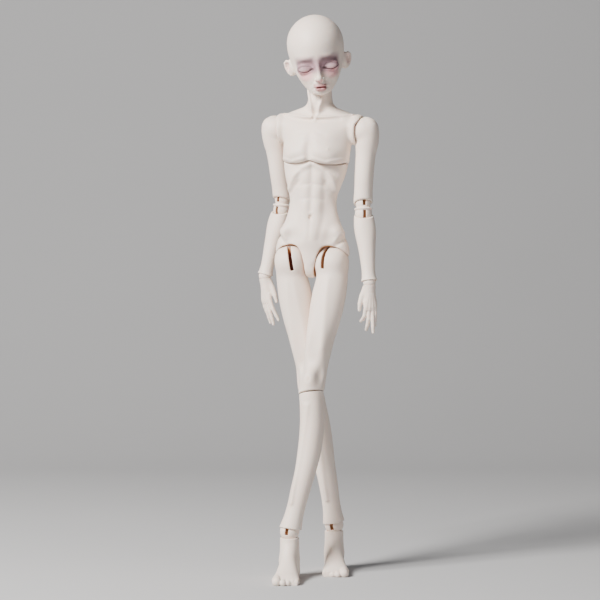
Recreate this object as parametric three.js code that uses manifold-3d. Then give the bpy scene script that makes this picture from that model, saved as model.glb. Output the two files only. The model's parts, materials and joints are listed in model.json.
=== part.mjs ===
// A ball-jointed doll of cast resin, strung with elastic cord, standing with its legs crossed.
// Millimetres and degrees. The doll faces -Y, its own left is +X, and it stands on z = 0.
// Limb pieces are modelled for the left side, hanging down -Z from their upper joint, +X outwards.

import * as THREE from "three";
import { mergeVertices } from "three/addons/utils/BufferGeometryUtils.js";
import Module from "manifold-3d";

const wasm = await Module();
wasm.setup();

// Lengths between joint centres.
const thighLength = 136;
const kneeSpan = 9;
const calfLength = 150;
const ankleHeight = 50;
const hipSpread = 45;
const waistRise = 109;
const shoulderRise = 37.5;
const shoulderSpread = 105.3;
const shoulderSetBack = 6;
const neckRise = 93.5;
const neckForward = 1;
const upperArmLength = 79;
const elbowSpan = 11.5;
const forearmLength = 76;
const handLength = 54;

// Widths of the limbs and the trunk.
const pelvisWidth = 81;
const chestWidth = 94;
const thighWidth = 38;
const calfWidth = 33;
const upperArmWidth = 24;
const forearmWidth = 22;
const neckWidth = 24.6;
const headWidth = 62;
const headHeight = 81.5;
const headDepth = 76;
const palmWidth = 18;
const fingerWidth = 4.6;
const footLength = 76;
const footWidth = 29;

// Joint balls, and the room round them.
const hipBall = 15.5;
const kneeBall = 8.8;
const ankleBall = 10.4;
const shoulderBall = 13.2;
const elbowBall = 8.4;
const elbowLowerBall = 9.4;
const elbowFlange = 5.2;
const flangeThickness = 2;
const kneeTilt = 50;
const kneeSeamBack = 0.6;
const elbowTilt = 26;
const wristBall = 6.9;
const neckBall = 10.2;
const waistWidth = 66;
const waistRadius = 21.2;
const ballClearance = 0.35;
const seamGap = 0.5;

// Elastic cord, its channels and its slots, and the steel hooks.
const elasticWidth = 3;
const channelWidth = 3.8;
const slotWidth = 3.8;
const hookWire = 1.8;
const hookWidth = 5.6;
const looseFit = 0.3;
const neckHookReach = 12.5;
const headWall = 4.5;
const capSetBack = 18;
const capRoom = 0.3;
const magnetWidth = 3;
const magnetThickness = 1.5;

// Longer than any cut needs to be.
const cutOverrun = 60;

// Facets flatter than this are merged.
const flatness = 0.003;

// Attitude of the standing doll: lean is towards its left, swing is forwards, turn is to its left.
const torsoLean = 2.6;
const chestLean = 3;
const chestTurn = -8;
const headLean = -6;
const headSwing = 17;
const headTurn = 10.5;
const standShare = 0.983;
const slotTurn = 25;
const archTilt = 14;
const fingerSpread = 10;
const thumbSpread = 15;
const thumbCurl = 8;
const thumbTipCurl = 14;
const capTilt = 10;
const noseTilt = 14;
const earTurn = 20;
const legPose = {
  l: { lean: -7.35, turn: -6, knee: 3, bow: 1.5, foot: 8 },
  r: { lean: 8.3, turn: -6, knee: 2, bow: 0, foot: 14 },
};
const armPose = {
  l: { lean: -2, swing: -3.1, turn: 20, elbow: 14, carry: 4, hand: { lean: 3.1, swing: 1.4, turn: 30 } },
  r: { lean: 3.4, swing: -10, turn: -26, elbow: 21, carry: 8.5, hand: { lean: 4, swing: 1, turn: -34 } },
};

// Fineness of the round surfaces.
const limbSides = 12;
const ballSides = 12;
const ballRings = 8;
const cordSides = 6;
const toeSides = 8;
const runSteps = 1;

// Cross sections from top to bottom: drop as a share of the length, then the reach outwards,
// inwards, forwards and backwards as shares of the width.
const thighShares = [
  [0.02, 0.25, 0.25, 0.25, 0.25],
  [0.05, 0.47, 0.345, 0.385, 0.385],
  [0.1, 0.52, 0.34, 0.41, 0.42],
  [0.16, 0.535, 0.375, 0.43, 0.47],
  [0.24, 0.545, 0.42, 0.46, 0.5],
  [0.34, 0.535, 0.425, 0.475, 0.49],
  [0.46, 0.495, 0.41, 0.47, 0.45],
  [0.6, 0.42, 0.395, 0.45, 0.41],
  [0.74, 0.36, 0.375, 0.395, 0.385],
  [0.85, 0.34, 0.35, 0.4, 0.34],
  [0.93, 0.355, 0.36, 0.45, 0.3],
  [1, 0.355, 0.355, 0.47, 0.28],
  [1.05, 0.335, 0.335, 0.44, 0.27],
];
const calfShares = [
  [-0.035, 0.375, 0.375, 0.5, 0.31],
  [0.02, 0.39, 0.375, 0.48, 0.35],
  [0.1, 0.42, 0.365, 0.43, 0.44],
  [0.2, 0.445, 0.35, 0.38, 0.52],
  [0.3, 0.445, 0.335, 0.37, 0.53],
  [0.42, 0.425, 0.325, 0.36, 0.48],
  [0.56, 0.37, 0.305, 0.35, 0.39],
  [0.7, 0.32, 0.315, 0.33, 0.32],
  [0.82, 0.3, 0.3, 0.31, 0.3],
  [0.92, 0.325, 0.325, 0.33, 0.33],
  [0.975, 0.355, 0.355, 0.36, 0.36],
];
// How far the middle of each calf lies outwards of a straight line, as a share of its width.
const calfBendShare = { l: 0.17, r: -0.05 };
const upperArmShares = [
  [-0.19, 0.16, 0.02, 0.15, 0.15],
  [-0.165, 0.36, 0.08, 0.33, 0.33],
  [-0.11, 0.54, 0.18, 0.5, 0.5],
  [-0.02, 0.63, 0.31, 0.58, 0.58],
  [0.08, 0.65, 0.4, 0.6, 0.6],
  [0.18, 0.63, 0.37, 0.56, 0.57],
  [0.3, 0.56, 0.41, 0.5, 0.52],
  [0.46, 0.48, 0.41, 0.47, 0.49],
  [0.64, 0.44, 0.42, 0.46, 0.47],
  [0.82, 0.42, 0.42, 0.44, 0.45],
  [0.96, 0.43, 0.44, 0.44, 0.46],
  [1.06, 0.42, 0.43, 0.43, 0.45],
];
const forearmShares = [
  [-0.045, 0.44, 0.44, 0.43, 0.45],
  [0.05, 0.48, 0.48, 0.46, 0.5],
  [0.16, 0.52, 0.5, 0.47, 0.53],
  [0.3, 0.52, 0.48, 0.46, 0.52],
  [0.46, 0.47, 0.42, 0.43, 0.46],
  [0.62, 0.41, 0.37, 0.39, 0.41],
  [0.76, 0.36, 0.34, 0.35, 0.36],
  [0.88, 0.34, 0.34, 0.33, 0.33],
  [0.95, 0.36, 0.36, 0.34, 0.34],
  [0.985, 0.39, 0.39, 0.37, 0.37],
];

// Trunk sections: height as a share of the rise, then half the width as a share of the width,
// and the front and back reach as shares of it too.
const pelvisShares = [
  [-0.16, 0.09, 0.06, 0.12],
  [-0.13, 0.16, 0.11, 0.18],
  [-0.05, 0.4, 0.17, 0.25],
  [0.05, 0.49, 0.2, 0.27],
  [0.12, 0.498, 0.22, 0.27],
  [0.2, 0.485, 0.235, 0.25],
  [0.3, 0.46, 0.24, 0.225],
  [0.42, 0.41, 0.235, 0.205],
  [0.53, 0.355, 0.225, 0.2],
  [0.61, 0.342, 0.222, 0.205],
  [0.7, 0.362, 0.228, 0.22],
  [0.84, 0.413, 0.24, 0.235],
  [0.94, 0.43, 0.245, 0.245],
];
// Chest and neck: height and set-back as shares of the rise to the neck, then half the width,
// the front and the back reach as shares of the chest's width.
const chestShares = [
  [-0.03, 0, 0.395, 0.255, 0.25],
  [0.06, 0, 0.4, 0.28, 0.26],
  [0.16, 0.01, 0.4, 0.295, 0.265],
  [0.27, 0.02, 0.41, 0.29, 0.27],
  [0.36, 0.035, 0.44, 0.27, 0.265],
  [0.45, 0.05, 0.47, 0.23, 0.24],
  [0.53, 0.06, 0.455, 0.19, 0.205],
  [0.59, 0.06, 0.375, 0.16, 0.18],
  [0.63, 0.055, 0.29, 0.145, 0.165],
  [0.665, 0.045, 0.195, 0.133, 0.153],
  [0.71, 0.04, 0.152, 0.13, 0.143],
  [0.78, 0.03, 0.137, 0.128, 0.132],
  [0.86, 0.01, 0.132, 0.125, 0.13],
  [0.93, -0.005, 0.115, 0.112, 0.115],
];
// The leg opening of the pelvis: inner edge, arch and outer edge, as shares of the hip ball.
const archShares = [
  [-1.2, -2.2],
  [-1.17, -0.8],
  [-0.98, -0.25],
  [-0.8, 0.25],
  [-0.45, 0.75],
  [0, 0.95],
  [0.5, 0.88],
  [0.95, 0.55],
  [1.3, 0.4],
  [2.2, 0.35],
  [2.2, -2.2],
];
// Head: height as a share of the height from the neck joint, then half the width as a share
// of the width, and the front and back reach as shares of the depth.
const headShares = [
  [-0.17, 0.1, 0.39, -0.28],
  [-0.15, 0.2, 0.43, -0.1],
  [-0.1, 0.255, 0.455, 0.1],
  [-0.02, 0.325, 0.47, 0.24],
  [0.07, 0.385, 0.475, 0.36],
  [0.16, 0.445, 0.47, 0.44],
  [0.25, 0.458, 0.455, 0.5],
  [0.34, 0.487, 0.47, 0.53],
  [0.45, 0.5, 0.47, 0.54],
  [0.56, 0.49, 0.445, 0.52],
  [0.66, 0.45, 0.39, 0.47],
  [0.75, 0.37, 0.3, 0.385],
  [0.8, 0.27, 0.2, 0.28],
  [0.825, 0.15, 0.1, 0.16],
];
// Foot from heel to toes: reach forwards as a share of the foot's length, half the width as a
// share of its width, and the height of its top as a share of the ankle's height.
const footShares = [
  [-0.22, 0.12, 0.18],
  [-0.2, 0.28, 0.4],
  [-0.13, 0.36, 0.7],
  [0, 0.37, 0.8],
  [0.12, 0.37, 0.74],
  [0.22, 0.39, 0.58],
  [0.36, 0.44, 0.38],
  [0.5, 0.49, 0.25],
  [0.62, 0.5, 0.17],
];
// The cup on top of the foot: drop as a share of the ankle's height, then half the width and
// the front and back reach as shares of the foot's width.
const ankleCupShares = [
  [0.133, 0.36, 0.36, 0.36],
  [0.3, 0.355, 0.37, 0.38],
  [0.5, 0.36, 0.45, 0.45],
  [0.7, 0.34, 0.5, 0.5],
];
// Toes from the great toe out: place across, reach forwards and thickness, as shares of the
// foot's width, length and width.
const toeShares = [
  [-0.3, 0.77, 0.3],
  [-0.08, 0.755, 0.21],
  [0.1, 0.73, 0.2],
  [0.27, 0.69, 0.19],
  [0.41, 0.64, 0.17],
];
// Palm: drop as a share of the hand's length, then half the width and half the thickness as
// shares of its width.
const palmShares = [
  [0.066, 0.45, 0.41],
  [0.16, 0.42, 0.34],
  [0.28, 0.46, 0.27],
  [0.42, 0.5, 0.24],
  [0.52, 0.49, 0.21],
  [0.56, 0.42, 0.14],
];
// Fingers from the forefinger out: place across and length as shares of the palm's width and
// the hand's length, then the curl of each half in degrees.
const fingerShares = [
  [-0.36, 0.5, 14, 24],
  [-0.12, 0.55, 6, 10],
  [0.12, 0.52, 14, 22],
  [0.35, 0.43, 24, 30],
];
// Bends of a hook: shares of its half width and half height.
const hookShares = [
  [1, 0.6],
  [0.5, 1],
  [-0.5, 1],
  [-0.6, 0.6],
  [0, 0],
  [0.6, -0.6],
  [0.5, -1],
  [-0.5, -1],
  [-1, -0.6],
];
// Rings of a finger: step along as a share of its length, and thickness as a share of its width.
const fingerStepShares = [
  [0, 1],
  [0.5, 0.98],
  [0.32, 0.86],
  [0.16, 0.72],
  [0.05, 0.4],
];

const rad = (degrees) => THREE.MathUtils.degToRad(degrees);

// One oval ring of points in a plane of constant height, between its four reaches.
function oval(height, centre, outer, inner, front, back, sides) {
  const ring = [];
  for (let i = 0; i < sides; i++) {
    const angle = (2 * Math.PI * i) / sides;
    const x = (outer - inner) / 2 + (Math.cos(angle) * (outer + inner)) / 2;
    const y = centre + (back - front) / 2 + (Math.sin(angle) * (back + front)) / 2;
    ring.push([x, y, height]);
  }
  return ring;
}

// A closed skin over a stack of rings, which rise or fall along any axis.
function skin(rings) {
  const sides = rings[0].length;
  const middle = (ring) => [0, 1, 2].map((k) => ring.reduce((sum, p) => sum + p[k], 0) / sides);
  const points = [...rings.flat(), middle(rings[0]), middle(rings[rings.length - 1])];
  const faces = [];
  const first = rings.length * sides;
  for (let i = 0; i < sides; i++) {
    const j = (i + 1) % sides;
    for (let r = 0; r + 1 < rings.length; r++) {
      const low = r * sides;
      const high = low + sides;
      faces.push(low + i, low + j, high + j, low + i, high + j, high + i);
    }
    const top = (rings.length - 1) * sides;
    faces.push(first, j, i, first + 1, top + i, top + j);
  }
  const geometry = new THREE.BufferGeometry();
  geometry.setAttribute("position", new THREE.Float32BufferAttribute(points.flat(), 3));
  geometry.setIndex(faces);
  return geometry;
}

// A manifold solid of a closed geometry, turned face out.
function solid(geometry) {
  const plain = geometry.clone();
  plain.deleteAttribute("normal");
  plain.deleteAttribute("uv");
  const merged = mergeVertices(plain);
  const make = (flip) => {
    const triVerts = new Uint32Array(merged.index.array);
    if (flip) triVerts.reverse();
    const vertProperties = merged.attributes.position.array;
    return new wasm.Manifold(new wasm.Mesh({ numProp: 3, vertProperties, triVerts }));
  };
  const made = make(false);
  return made.volume() > 0 ? made : make(true);
}

// The same shape seen in a mirror across the middle plane, for the right side.
function sided(geometry, side) {
  return side > 0 ? geometry : geometry.clone().scale(-1, 1, 1);
}

function ball(radius, x, y, z) {
  return new THREE.SphereGeometry(radius, ballSides, ballRings).rotateX(Math.PI / 2).translate(x, y, z);
}

// A ball-shaped cutter whose flat faces lie no nearer than the clearance to the ball that it holds.
function socket(radius, x, y, z) {
  const swell = 1 / (Math.cos(Math.PI / ballSides) * Math.cos(Math.PI / (2 * ballRings)));
  return ball((radius + ballClearance) * swell, x, y, z);
}

// An upright rod of the given width between two heights.
function rod(width, low, high, x, y, sides = cordSides) {
  return new THREE.CylinderGeometry(width / 2, width / 2, high - low, sides)
    .rotateX(Math.PI / 2)
    .translate(x, y, (low + high) / 2);
}

// An upright length of elastic with round ends.
function elastic(low, high) {
  const straight = high - low - elasticWidth;
  return new THREE.CapsuleGeometry(elasticWidth / 2, straight, 2, cordSides)
    .rotateX(Math.PI / 2)
    .translate(0, 0, (low + high) / 2);
}

// A box between two corners.
function block(x0, x1, y0, y1, z0, z1) {
  const made = new THREE.BoxGeometry(x1 - x0, y1 - y0, z1 - z0);
  return made.translate((x0 + x1) / 2, (y0 + y1) / 2, (z0 + z1) / 2);
}

const resin = { color: 0xf1e7dd, roughness: 0.55, metalness: 0 };
const steel = { color: 0xb9bcc0, roughness: 0.3, metalness: 1 };
const rubber = { color: 0xf4efe6, roughness: 0.8, metalness: 0 };
const magnetFinish = { color: 0xa9abaf, roughness: 0.25, metalness: 1 };

// A named mesh of one solid.
function piece(name, made, finish) {
  const { numProp, vertProperties, triVerts } = made.simplify(flatness).getMesh();
  const geometry = new THREE.BufferGeometry();
  const points = [];
  for (let i = 0; i < vertProperties.length; i += numProp) {
    points.push(...vertProperties.slice(i, i + 3));
  }
  geometry.setAttribute("position", new THREE.Float32BufferAttribute(points, 3));
  geometry.setIndex(Array.from(triVerts));
  const mesh = new THREE.Mesh(geometry, new THREE.MeshStandardMaterial(finish));
  mesh.name = name;
  return mesh;
}

const cut = (made, ...cutters) => cutters.reduce((rest, c) => rest.subtract(solid(c)), made);
const join = (made, ...added) => added.reduce((sum, a) => sum.add(solid(a)), made);

// A group at a joint centre, hung from its parent.
function pivot(parent, name, x, y, z) {
  const group = new THREE.Group();
  group.name = name;
  group.position.set(x, y, z);
  parent.add(group);
  return group;
}

// Turns a group to the given lean, swing and turn in space, whatever its parent's attitude.
function stand(group, lean, swing, turn) {
  const attitude = new THREE.Euler(-rad(swing), -rad(lean), rad(turn), "YXZ");
  const wanted = new THREE.Quaternion().setFromEuler(attitude);
  const parent = group.parent.getWorldQuaternion(new THREE.Quaternion());
  group.quaternion.copy(parent.invert().multiply(wanted));
}

// A skin from a limb's table.
function limb(shares, length, width, sides = limbSides) {
  const rings = shares.map(([drop, outer, inner, front, back]) =>
    oval(-drop * length, 0, outer * width, inner * width, front * width, back * width, sides),
  );
  return skin(rings.reverse());
}

// A half-space cutter below or above a plane through the point (y, z) that tilts about X, and
// with a roll about Y.
function beyond(tilt, y, z, way, roll = 0) {
  return new THREE.BoxGeometry(cutOverrun, cutOverrun, cutOverrun)
    .translate(0, 0, (way * cutOverrun) / 2)
    .rotateX(rad(tilt))
    .rotateY(rad(roll))
    .translate(0, y, z);
}

// A round bar of the given width along chosen points, its ends pushed out by the stretch.
function run(points, width, stretch = 0) {
  const section = new THREE.Shape();
  for (let i = 0; i < cordSides; i++) {
    const angle = (2 * Math.PI * (i + 0.5)) / cordSides;
    const corner = [(width / 2) * Math.cos(angle), (width / 2) * Math.sin(angle)];
    if (i) section.lineTo(...corner);
    else section.moveTo(...corner);
  }
  const along = points.map((p) => new THREE.Vector3(...p));
  const ends = [along[0].clone().sub(along[1]), along.at(-1).clone().sub(along.at(-2))];
  along[0].addScaledVector(ends[0].normalize(), stretch);
  along.at(-1).addScaledVector(ends[1].normalize(), stretch);
  const extrudePath = new THREE.CatmullRomCurve3(along);
  const steps = runSteps * (points.length - 1);
  return new THREE.ExtrudeGeometry(section, { steps, extrudePath, bevelEnabled: false });
}

const doll = new THREE.Group();
const sides = [
  ["l", 1],
  ["r", -1],
];

// Trunk
const torsoRoot = pivot(doll, "torso_root", 0, 0, 0);
stand(torsoRoot, -torsoLean, 0, 0);
const waist = pivot(torsoRoot, "waist", 0, 0, waistRise);
stand(waist, -chestLean, 0, chestTurn);
const neck = pivot(waist, "neck", 0, -neckForward, neckRise);
stand(neck, -headLean, -headSwing, headTurn);

const cordGap = elasticWidth * 0.3;
const hipX = hipSpread / 2;
const shoulderX = shoulderSpread / 2;

// The dome that rises from the torso into the chest, wider than it is deep.
function waistDome() {
  const round = new THREE.SphereGeometry(waistRadius, ballSides, ballRings).rotateZ(Math.PI / 2);
  return round.scale(waistWidth / 2 / waistRadius, 1, 1);
}

// The arch that a leg's ball and thigh swing in.
function legOpening(side) {
  const outline = new THREE.Shape(archShares.map(([x, z]) => new THREE.Vector2(x * hipBall, z * hipBall)));
  const opening = new THREE.ExtrudeGeometry(outline, { depth: 2 * cutOverrun, bevelEnabled: false })
    .translate(0, 0, -cutOverrun)
    .rotateX(Math.PI / 2 - rad(archTilt));
  return sided(opening, side).translate(side * hipX, 0, 0);
}

// The route of one leg's cord through the torso.
const torsoRun = (side) => [
  [side * channelWidth * 0.75, 0, waistRise + waistRadius - elasticWidth],
  [side * channelWidth * 0.75, 0, waistRise * 0.85],
  [side * hipX * 0.4, 0, waistRise * 0.45],
  [side * hipX * 0.9, 0, hipBall * 1.4],
];

function torsoPiece() {
  const rings = pelvisShares.map(([rise, half, front, back]) =>
    oval(
      rise * waistRise, 0, half * pelvisWidth, half * pelvisWidth,
      front * pelvisWidth, back * pelvisWidth, limbSides,
    ),
  );
  const dome = waistDome().applyQuaternion(waist.quaternion).translate(0, 0, waistRise);
  let made = join(solid(skin(rings)), dome);
  for (const side of [1, -1]) {
    const channel = run(torsoRun(side), channelWidth, elasticWidth);
    made = cut(made, socket(hipBall, side * hipX, 0, 0), legOpening(side), channel);
  }
  return made;
}

// The routes of the cord through the chest and of the bore that goes on up the neck.
const spineRun = [
  [0, 0, waistRadius + elasticWidth * 0.3],
  [0, shoulderSetBack * 0.5, neckRise * 0.42],
  [0, shoulderSetBack * 0.5, neckRise * 0.6],
  [0, -neckForward * 0.5, neckRise * 0.78],
];
const neckRun = [
  [0, -neckForward * 0.5, neckRise * 0.78],
  [0, -neckForward * 0.8, neckRise * 0.9],
  [0, -neckForward, neckRise + neckBall],
];

function chestPiece() {
  const rings = chestShares.map(([rise, back, half, front, rear]) =>
    oval(
      rise * neckRise, back * neckRise, half * chestWidth, half * chestWidth,
      front * chestWidth, rear * chestWidth, limbSides,
    ),
  );
  const grow = 1 + ballClearance / waistRadius;
  const swell = grow / (Math.cos(Math.PI / ballSides) * Math.cos(Math.PI / (2 * ballRings)));
  const hookBore = hookWidth + 4 * looseFit;
  const boreLow = neckRise - neckHookReach - 2 * looseFit;
  let made = cut(
    join(solid(skin(rings)), ball(neckBall, 0, -neckForward, neckRise)),
    waistDome().scale(swell, swell, swell),
    waistDome().scale(grow, 1, 1).scale(1, swell, swell).translate(0, 0, -waistRadius * 0.3),
    run(spineRun, channelWidth, elasticWidth),
    run(neckRun, channelWidth, elasticWidth),
    rod(hookBore, boreLow, neckRise + neckBall * 2, 0, -neckForward, ballSides),
  );
  for (const side of [1, -1]) {
    made = cut(made, socket(shoulderBall, side * shoulderX, shoulderSetBack, shoulderRise));
  }
  const across = rod(channelWidth, -shoulderX, shoulderX, 0, 0).rotateY(Math.PI / 2);
  return cut(made, across.translate(0, shoulderSetBack, shoulderRise));
}

torsoRoot.add(piece("torso", torsoPiece(), resin));
waist.add(piece("chest", chestPiece(), resin));
for (const [name, side] of sides) {
  torsoRoot.add(piece("torso_elastic_" + name, solid(run(torsoRun(side), elasticWidth)), rubber));
}
waist.add(piece("spine_elastic", solid(run(spineRun, elasticWidth)), rubber));
const crossReach = shoulderX - shoulderBall - elasticWidth / 2;
const cross = elastic(-crossReach, crossReach).rotateY(Math.PI / 2);
cross.translate(0, shoulderSetBack, shoulderRise);
waist.add(piece("chest_elastic", solid(cross), rubber));

// Legs

// The sections of a calf whose middle lies outwards of a straight line.
function bentShares(shares, bend) {
  return shares.map(([drop, outer, inner, front, back]) => {
    const aside = bend * Math.sin(Math.PI * Math.max(drop, 0));
    return [drop, outer + aside, inner - aside, front, back];
  });
}

// The short length of cord that turns over inside a hip or shoulder ball.
function jointElastic() {
  return new THREE.CapsuleGeometry(elasticWidth / 2, elasticWidth, 2, cordSides).rotateZ(Math.PI / 2);
}

// The hollow that it turns over in.
function jointRoom() {
  return new THREE.SphereGeometry(channelWidth * 1.05, cordSides + 2, cordSides);
}

function thighPiece(side, bow) {
  const slot = block(-slotWidth / 2, slotWidth / 2, -cutOverrun, 0, -hipBall * 0.65, cutOverrun);
  const bottom = -thighLength - kneeSpan / 2 + seamGap / 2;
  const made = cut(
    join(solid(limb(thighShares, thighLength, thighWidth)), ball(hipBall, 0, 0, 0)),
    socket(kneeBall, 0, 0, -thighLength),
    slot.rotateZ(-rad(slotTurn)),
    jointRoom(),
    rod(channelWidth, -thighLength, 0, 0, 0),
    beyond(0, 0, bottom, -1, bow / 2),
    beyond(kneeTilt, kneeSeamBack, bottom, -1, bow / 2),
  );
  return side > 0 ? made : mirror(made);
}

// A knee core: two balls on one axis, with a slot for the cord at the back.
function kneePiece() {
  const made = join(solid(ball(kneeBall, 0, 0, 0)), ball(kneeBall, 0, 0, -kneeSpan));
  return cut(
    made,
    rod(channelWidth, -cutOverrun, cutOverrun, 0, 0),
    block(-slotWidth / 2, slotWidth / 2, 0, cutOverrun, -kneeSpan * 0.3, cutOverrun),
    block(-slotWidth / 2, slotWidth / 2, 0, cutOverrun, -cutOverrun, -kneeSpan * 0.7),
  );
}

function calfPiece(side, bow, bend) {
  const top = kneeSpan / 2 - seamGap / 2;
  const made = cut(
    solid(limb(bentShares(calfShares, bend), calfLength, calfWidth)),
    socket(kneeBall, 0, 0, 0),
    beyond(0, 0, top, 1, -bow / 2),
    beyond(-kneeTilt, kneeSeamBack, top, 1, -bow / 2),
    rod(channelWidth, -calfLength, 0, 0, 0),
    socket(ankleBall, 0, 0, -calfLength),
  );
  return side > 0 ? made : mirror(made);
}

// The upright slot through a wrist or ankle ball that its hook stands in.
function hookSlot() {
  const half = hookWire / 2 + looseFit;
  const deep = hookWidth / 2 + looseFit;
  return block(-half, half, -deep, deep, -cutOverrun, cutOverrun);
}

// The ankle ball, bored upright, with its slot for the cord in front.
function anklePiece() {
  return cut(
    solid(ball(ankleBall, 0, 0, 0)),
    hookSlot(),
    block(-slotWidth / 2, slotWidth / 2, -cutOverrun, 0, -ankleBall * 0.35, cutOverrun),
  );
}

function footPiece(side) {
  const sole = -ankleHeight;
  const rings = footShares.map(([reach, half, top]) => {
    const ring = [];
    for (let i = 0; i < limbSides; i++) {
      const angle = (2 * Math.PI * i) / limbSides;
      const across = Math.cos(angle) * half * footWidth;
      const rise = Math.max(Math.sin(angle), 0) ** 0.85;
      const under = Math.sin(angle) < 0 ? 1 - 0.12 * Math.sin(angle) ** 2 : 1;
      ring.push([across * under, -reach * footLength, sole + rise * top * ankleHeight]);
    }
    return ring;
  });
  const cup = ankleCupShares.map(([drop, half, front, back]) =>
    oval(
      -drop * ankleHeight, 0, half * footWidth, half * footWidth,
      front * footWidth, back * footWidth, limbSides,
    ),
  );
  let made = join(solid(skin(rings)), skin(cup.reverse()));
  for (const [across, reach, thick] of toeShares) {
    const radius = (thick * footWidth) / 2;
    const toe = new THREE.SphereGeometry(radius, toeSides, cordSides).scale(1, 1.9, 0.95);
    const forward = -reach * footLength + radius * 0.9;
    made = join(made, toe.translate(across * footWidth, forward, sole + radius * 0.86));
  }
  made = cut(
    made,
    beyond(0, 0, sole, -1).scale(2, 2, 1),
    beyond(0, 0, -ankleBall * 0.64, 1),
    socket(ankleBall, 0, 0, 0),
    rod(channelWidth, -ankleHeight * 0.5, 0, 0, 0),
  );
  return side > 0 ? made : mirror(made);
}

// Arms
function upperArmPiece(side) {
  const bottom = -upperArmLength - elbowFlange + seamGap / 2;
  const made = cut(
    join(solid(limb(upperArmShares, upperArmLength, upperArmWidth)), ball(shoulderBall, 0, 0, 0)),
    socket(elbowBall, 0, 0, -upperArmLength),
    beyond(-elbowTilt, upperArmWidth * 0.45, bottom, -1),
    rod(channelWidth, -upperArmLength, 0, 0, 0),
    jointRoom(),
    rod(channelWidth, -cutOverrun, 0, 0, 0).rotateY(Math.PI / 2),
  );
  return side > 0 ? made : mirror(made);
}

// The elbow's double ball, with a flange between the balls and a slot for the cord in front.
function elbowPiece() {
  const low = -elbowFlange - flangeThickness;
  const ledge = upperArmWidth * 0.43;
  const profile = [
    [0, -elbowFlange],
    [ledge * 0.97, -elbowFlange],
    [ledge, -elbowFlange - flangeThickness * 0.2],
    [ledge * 0.97, low],
    [0, low],
  ].map(([x, y]) => new THREE.Vector2(x, y));
  const flange = new THREE.LatheGeometry(profile.reverse(), ballSides).rotateX(Math.PI / 2);
  const lowerSlotTop = low - flangeThickness * 0.4;
  return cut(
    join(solid(ball(elbowBall, 0, 0, 0)), ball(elbowLowerBall, 0, 0, -elbowSpan), flange),
    rod(channelWidth, -cutOverrun, cutOverrun, 0, 0),
    block(-slotWidth / 2, slotWidth / 2, -cutOverrun, 0, -elbowFlange * 0.5, cutOverrun),
    block(-slotWidth / 2, slotWidth / 2, -cutOverrun, 0, -cutOverrun, lowerSlotTop),
  );
}

function forearmPiece(side) {
  const top = elbowSpan - elbowFlange - flangeThickness - seamGap / 2;
  const made = cut(
    solid(limb(forearmShares, forearmLength, forearmWidth)),
    socket(elbowLowerBall, 0, 0, 0),
    beyond(elbowTilt * 1.15, forearmWidth * 0.45, top, 1),
    rod(channelWidth, -forearmLength, 0, 0, 0),
    socket(wristBall, 0, 0, -forearmLength),
  );
  return side > 0 ? made : mirror(made);
}

function wristPiece() {
  return cut(solid(ball(wristBall, 0, 0, 0)), hookSlot());
}

// One finger: two tapered lengths that curl towards the palm, from a root on the knuckles.
function finger(x, z, length, curlNear, curlFar, spread, width) {
  const root = width * 0.6;
  const at = new THREE.Vector3(x, 0, z + root);
  const side = new THREE.Vector3(1, 0, 0);
  const rings = fingerStepShares.map(([step, reachShare], k) => {
    const angle = rad([0, curlNear, curlNear + curlFar][Math.min(k, 2)]);
    const along = new THREE.Vector3(Math.sin(rad(spread)), Math.sin(angle), -Math.cos(angle));
    at.addScaledVector(along, step * (length + root));
    const over = new THREE.Vector3(0, Math.cos(angle), Math.sin(angle));
    const ring = [];
    for (let i = 0; i < cordSides; i++) {
      const turn = (2 * Math.PI * i) / cordSides;
      const reach = (width / 2) * reachShare;
      const p = at.clone().addScaledVector(side, Math.cos(turn) * reach);
      ring.push(p.addScaledVector(over, Math.sin(turn) * reach).toArray());
    }
    return ring;
  });
  return skin(rings);
}

function handPiece(side) {
  const rings = palmShares.map(([drop, half, thick]) =>
    oval(
      -drop * handLength, 0, half * palmWidth, half * palmWidth,
      thick * palmWidth, thick * palmWidth, limbSides,
    ),
  );
  let made = solid(skin(rings.reverse()));
  const knuckles = -handLength * 0.52;
  for (const [across, length, near, far] of fingerShares) {
    const reach = length * handLength * 0.92;
    const place = across * palmWidth;
    made = join(made, finger(place, knuckles, reach, near, far, across * fingerSpread, fingerWidth));
  }
  const thumbReach = handLength * 0.44;
  const thumb = finger(0, 0, thumbReach, thumbCurl, thumbTipCurl, 0, fingerWidth * 1.1);
  thumb.rotateY(rad(thumbSpread));
  made = join(made, thumb.translate(-palmWidth * 0.32, palmWidth * 0.05, -handLength * 0.2));
  made = cut(made, socket(wristBall, 0, 0, 0), rod(channelWidth, -handLength * 0.3, 0, 0, 0));
  return side > 0 ? made : mirror(made);
}

// The mirror image of a solid across the middle plane.
function mirror(made) {
  const { numProp, vertProperties, triVerts } = made.getMesh();
  const flipped = new Float32Array(vertProperties);
  for (let i = 0; i < flipped.length; i += numProp) flipped[i] = -flipped[i];
  const turned = new Uint32Array(triVerts).reverse();
  return new wasm.Manifold(new wasm.Mesh({ numProp, vertProperties: flipped, triVerts: turned }));
}

// An S-hook bent in the YZ plane, reaching as far above its middle as below.
function hook(half) {
  const reach = (hookWidth - hookWire) / 2;
  const points = hookShares.map(([y, z]) => [0, y * reach, z * half]);
  return run(points, hookWire);
}

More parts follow.
